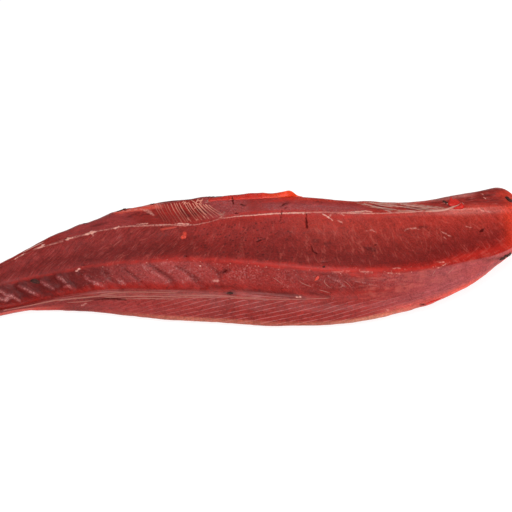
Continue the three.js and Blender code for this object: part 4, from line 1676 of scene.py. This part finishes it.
def make_scraps(surface, tint_at):
    """Torn bits of flesh, crumbs, a sliver and scraps of skin, as mounds and strands."""
    torn = scrap_material("torn_flesh", linear(206, 42, 34), linear(182, 36, 30), 0.3)
    crumb = scrap_material("crumb_flesh", linear(220, 78, 60), linear(188, 54, 42), 0.3)
    thin = tissue_material("sliver_flesh", linear(206, 76, 60))
    skin = scrap_material("dark_skin", SKIN, linear(86, 44, 38), 0.4, 0.0, 0.06)
    skin_edges = (*((mark, 0.5, 0) for mark in SKIN_EDGE), (CLEFT, 0.5, -CLEFT_RAISED))
    groups = (
        # name, material and slot, then outlines with height, colour share and roughness,
        # then marks with flatness and sinking
        ("torn_bits", torn, "flesh", RED_BITS, (1.8, 1.0, 0.25), ((TORN_EDGE, 0.7, 0),)),
        ("crumbs", crumb, "flesh", CRUMBS, (1.0, 1.0, 0.4), ((BARB, 0.8, 0),)),
        ("sliver", thin, "flesh", (SLIVER,), (0.35, 0.6, 0.0), ()),
        ("skin_scraps", skin, "skin", SKIN_SCRAPS, (0.9, 1.0, 0.5), skin_edges),
    )
    for name, material, slot, outlines, form, strands in groups:
        bits = Bits(tint_at)
        for outline in outlines:
            bits.mound(surface, outline, *form)
        for mark, flatness, sunk in strands:
            bits.strand(surface, mark, 1.0, flatness, sunk)
        bits.make(name, material)


def place_on_ray(u, v, y):
    """The point behind a pixel of the photo at depth y."""
    ray = pixel_ray(u, v)
    return CAMERA_PLACE + ray * (y - CAMERA_PLACE[1]) / ray[1]


def smoothed(rows):
    """Each row as a weighted mean of its neighbours, with the end rows repeated."""
    extra = len(FLAP_SMOOTHING) // 2
    padded = np.concatenate((rows[:1].repeat(extra, 0), rows, rows[-1:].repeat(extra, 0)))
    total = sum(weight * padded[k : k + len(rows)] for k, weight in enumerate(FLAP_SMOOTHING))
    return total / sum(FLAP_SMOOTHING)


def flap_grid(surface, columns):
    """Points up the flap for each of the photo's columns, from its foot to its top."""
    grid = []
    for u, low, high in zip(columns, along(FLAP_FOOT, columns), along(FLAP_TOP, columns)):
        foot, normal = surface.under_pixel(u, low)
        edge, _ = surface.under_pixel(u, high)
        top = place_on_ray(u, high, max(edge[1], foot[1] + FLAP_THICK))
        bulge = normal * FLAP_THICK
        run = top - foot
        grid.append([foot + run * t + bulge * (0.4 + math.sin(math.pi * t)) for t in FLAP_LEVELS])
    grid = smoothed(np.array(grid))
    return grid + noise(grid, 6)[..., None] * FLAP_RIPPLE * FLAP_LEVELS[None, :, None]


def make_flap(surface, tint_at):
    """A thin sheet that rises from the top strip past the back edge."""
    columns = np.arange(FLAP_FOOT[0][0], FLAP_FOOT[-1][0] + 0.5, 1.0)
    grid = flap_grid(surface, columns)
    out = unit(np.cross(np.gradient(grid, axis=0), np.gradient(grid, axis=1)))
    ends = np.sin(np.pi * np.linspace(0.02, 0.98, len(columns))) ** 0.3
    half = FLAP_THICK / 2 * ends[:, None, None] * (1.2 - 0.9 * FLAP_LEVELS)[None, :, None]
    sheet = np.concatenate((grid + out * half, (grid - out * half)[:, ::-1]), 1)
    rows, around = sheet.shape[:2]

    bits = Bits(tint_at)
    bits.vertices = list(sheet.reshape(-1, 3))
    bits.shares = list(smooth(*FLAP_GLOW, columns).repeat(around))
    for i in range(rows - 1):
        for j in range(around):
            a, b = i * around + j, i * around + (j + 1) % around
            bits.faces.append((a, a + around, b + around, b))
    bits.faces.append(tuple(range(around)))
    bits.faces.append(tuple((rows - 1) * around + j for j in range(around))[::-1])
    bits.make("edge_flap", flap_material())


def flap_material():
    """A thin membrane that light comes through: red, with a painted orange glow towards the head."""
    g = Graph("bright_flap")
    cloudy = g.noise(g.place(), 4 * MM, 3.0, 0.6)
    base = g.blend(g.value("share"), linear(204, 50, 40), linear(238, 68, 32))
    base = g.shaded(base, g.step(cloudy, 0.2, 0.8, 0.85, 1.15))
    return g.finish(
        Base_Color=base,
        Roughness=g.step(cloudy, 0.2, 0.8, 0.25, 0.45),
        Normal=g.bumps(cloudy, 0.4 * MM, 0.3),
        **dict(MOIST, Subsurface_Weight=0.5),
    )


# ---- floor, light and camera ----------------------------------------------------------

FLOOR_HALF = 9000
FLOOR_GREY = (0.35, 0.35, 0.35, 1)
FLOOR_GLOW = 0.8
WORLD_GLOW = 0.25
WHITE = (1, 1, 1, 1)

# Square lights: name, place and side in metres, and power in watts.
LIGHTS = (
    ("overhead", (0.1, -0.3, 1.7), 1.0, 14),
    ("front", (0.1, -1.7, 1.3), 1.2, 26),
)


def make_floor():
    """A plain pale floor under everything."""
    material = Graph("pale_floor").finish(
        Base_Color=FLOOR_GREY,
        Roughness=0.9,
        Specular_IOR_Level=0.0,
        Emission_Color=WHITE,
        Emission_Strength=FLOOR_GLOW,
    )
    half = FLOOR_HALF * MM
    corners = [(-half, -half, 0), (half, -half, 0), (half, half, 0), (-half, half, 0)]
    mesh = bpy.data.meshes.new("floor")
    mesh.from_pydata(corners, [], [(0, 1, 2, 3)])
    mesh.materials.append(material)
    floor = bpy.data.objects.new("floor", mesh)
    bpy.context.scene.collection.objects.link(floor)


def make_light(name, place, size, power):
    """A soft square light that faces the loin."""
    data = bpy.data.lights.new(name, "AREA")
    data.shape = "SQUARE"
    data.size = size
    data.energy = power
    light = bpy.data.objects.new(name, data)
    light.location = place
    light.rotation_euler = (-Vector(place)).to_track_quat("-Z", "Y").to_euler()
    bpy.context.scene.collection.objects.link(light)


def make_world():
    """Even white light from all around."""
    world = bpy.data.worlds.new("studio")
    world.use_nodes = True
    background = world.node_tree.nodes["Background"]
    background.inputs["Color"].default_value = WHITE
    background.inputs["Strength"].default_value = WORLD_GLOW
    bpy.context.scene.world = world


def make_camera():
    """The photo's camera."""
    data = bpy.data.cameras.new("camera")
    data.sensor_width = SENSOR_WIDTH
    data.lens = SENSOR_WIDTH * FOCAL_PIXELS / PHOTO_WIDTH
    camera = bpy.data.objects.new("camera", data)
    camera.location = CAMERA_PLACE * MM
    camera.rotation_euler = Vector(BACK).to_track_quat("Z", "Y").to_euler()
    bpy.context.scene.collection.objects.link(camera)
    bpy.context.scene.camera = camera


# ---- build ----------------------------------------------------------------------------

bpy.context.scene.view_settings.view_transform = "Standard"
make_camera()
make_world()
for light in LIGHTS:
    make_light(*light)
make_floor()

loft = Loft()
add_form(loft)
marks = add_marks(loft, Surface(loft))
tint = flesh_tint(loft, marks)
make_loin(loft, marks, tint)

surface = Surface(loft)
tint_at = surface.tint_finder(tint)
for make_pieces in (make_comb, make_strands, make_scraps, make_flap):
    make_pieces(surface, tint_at)
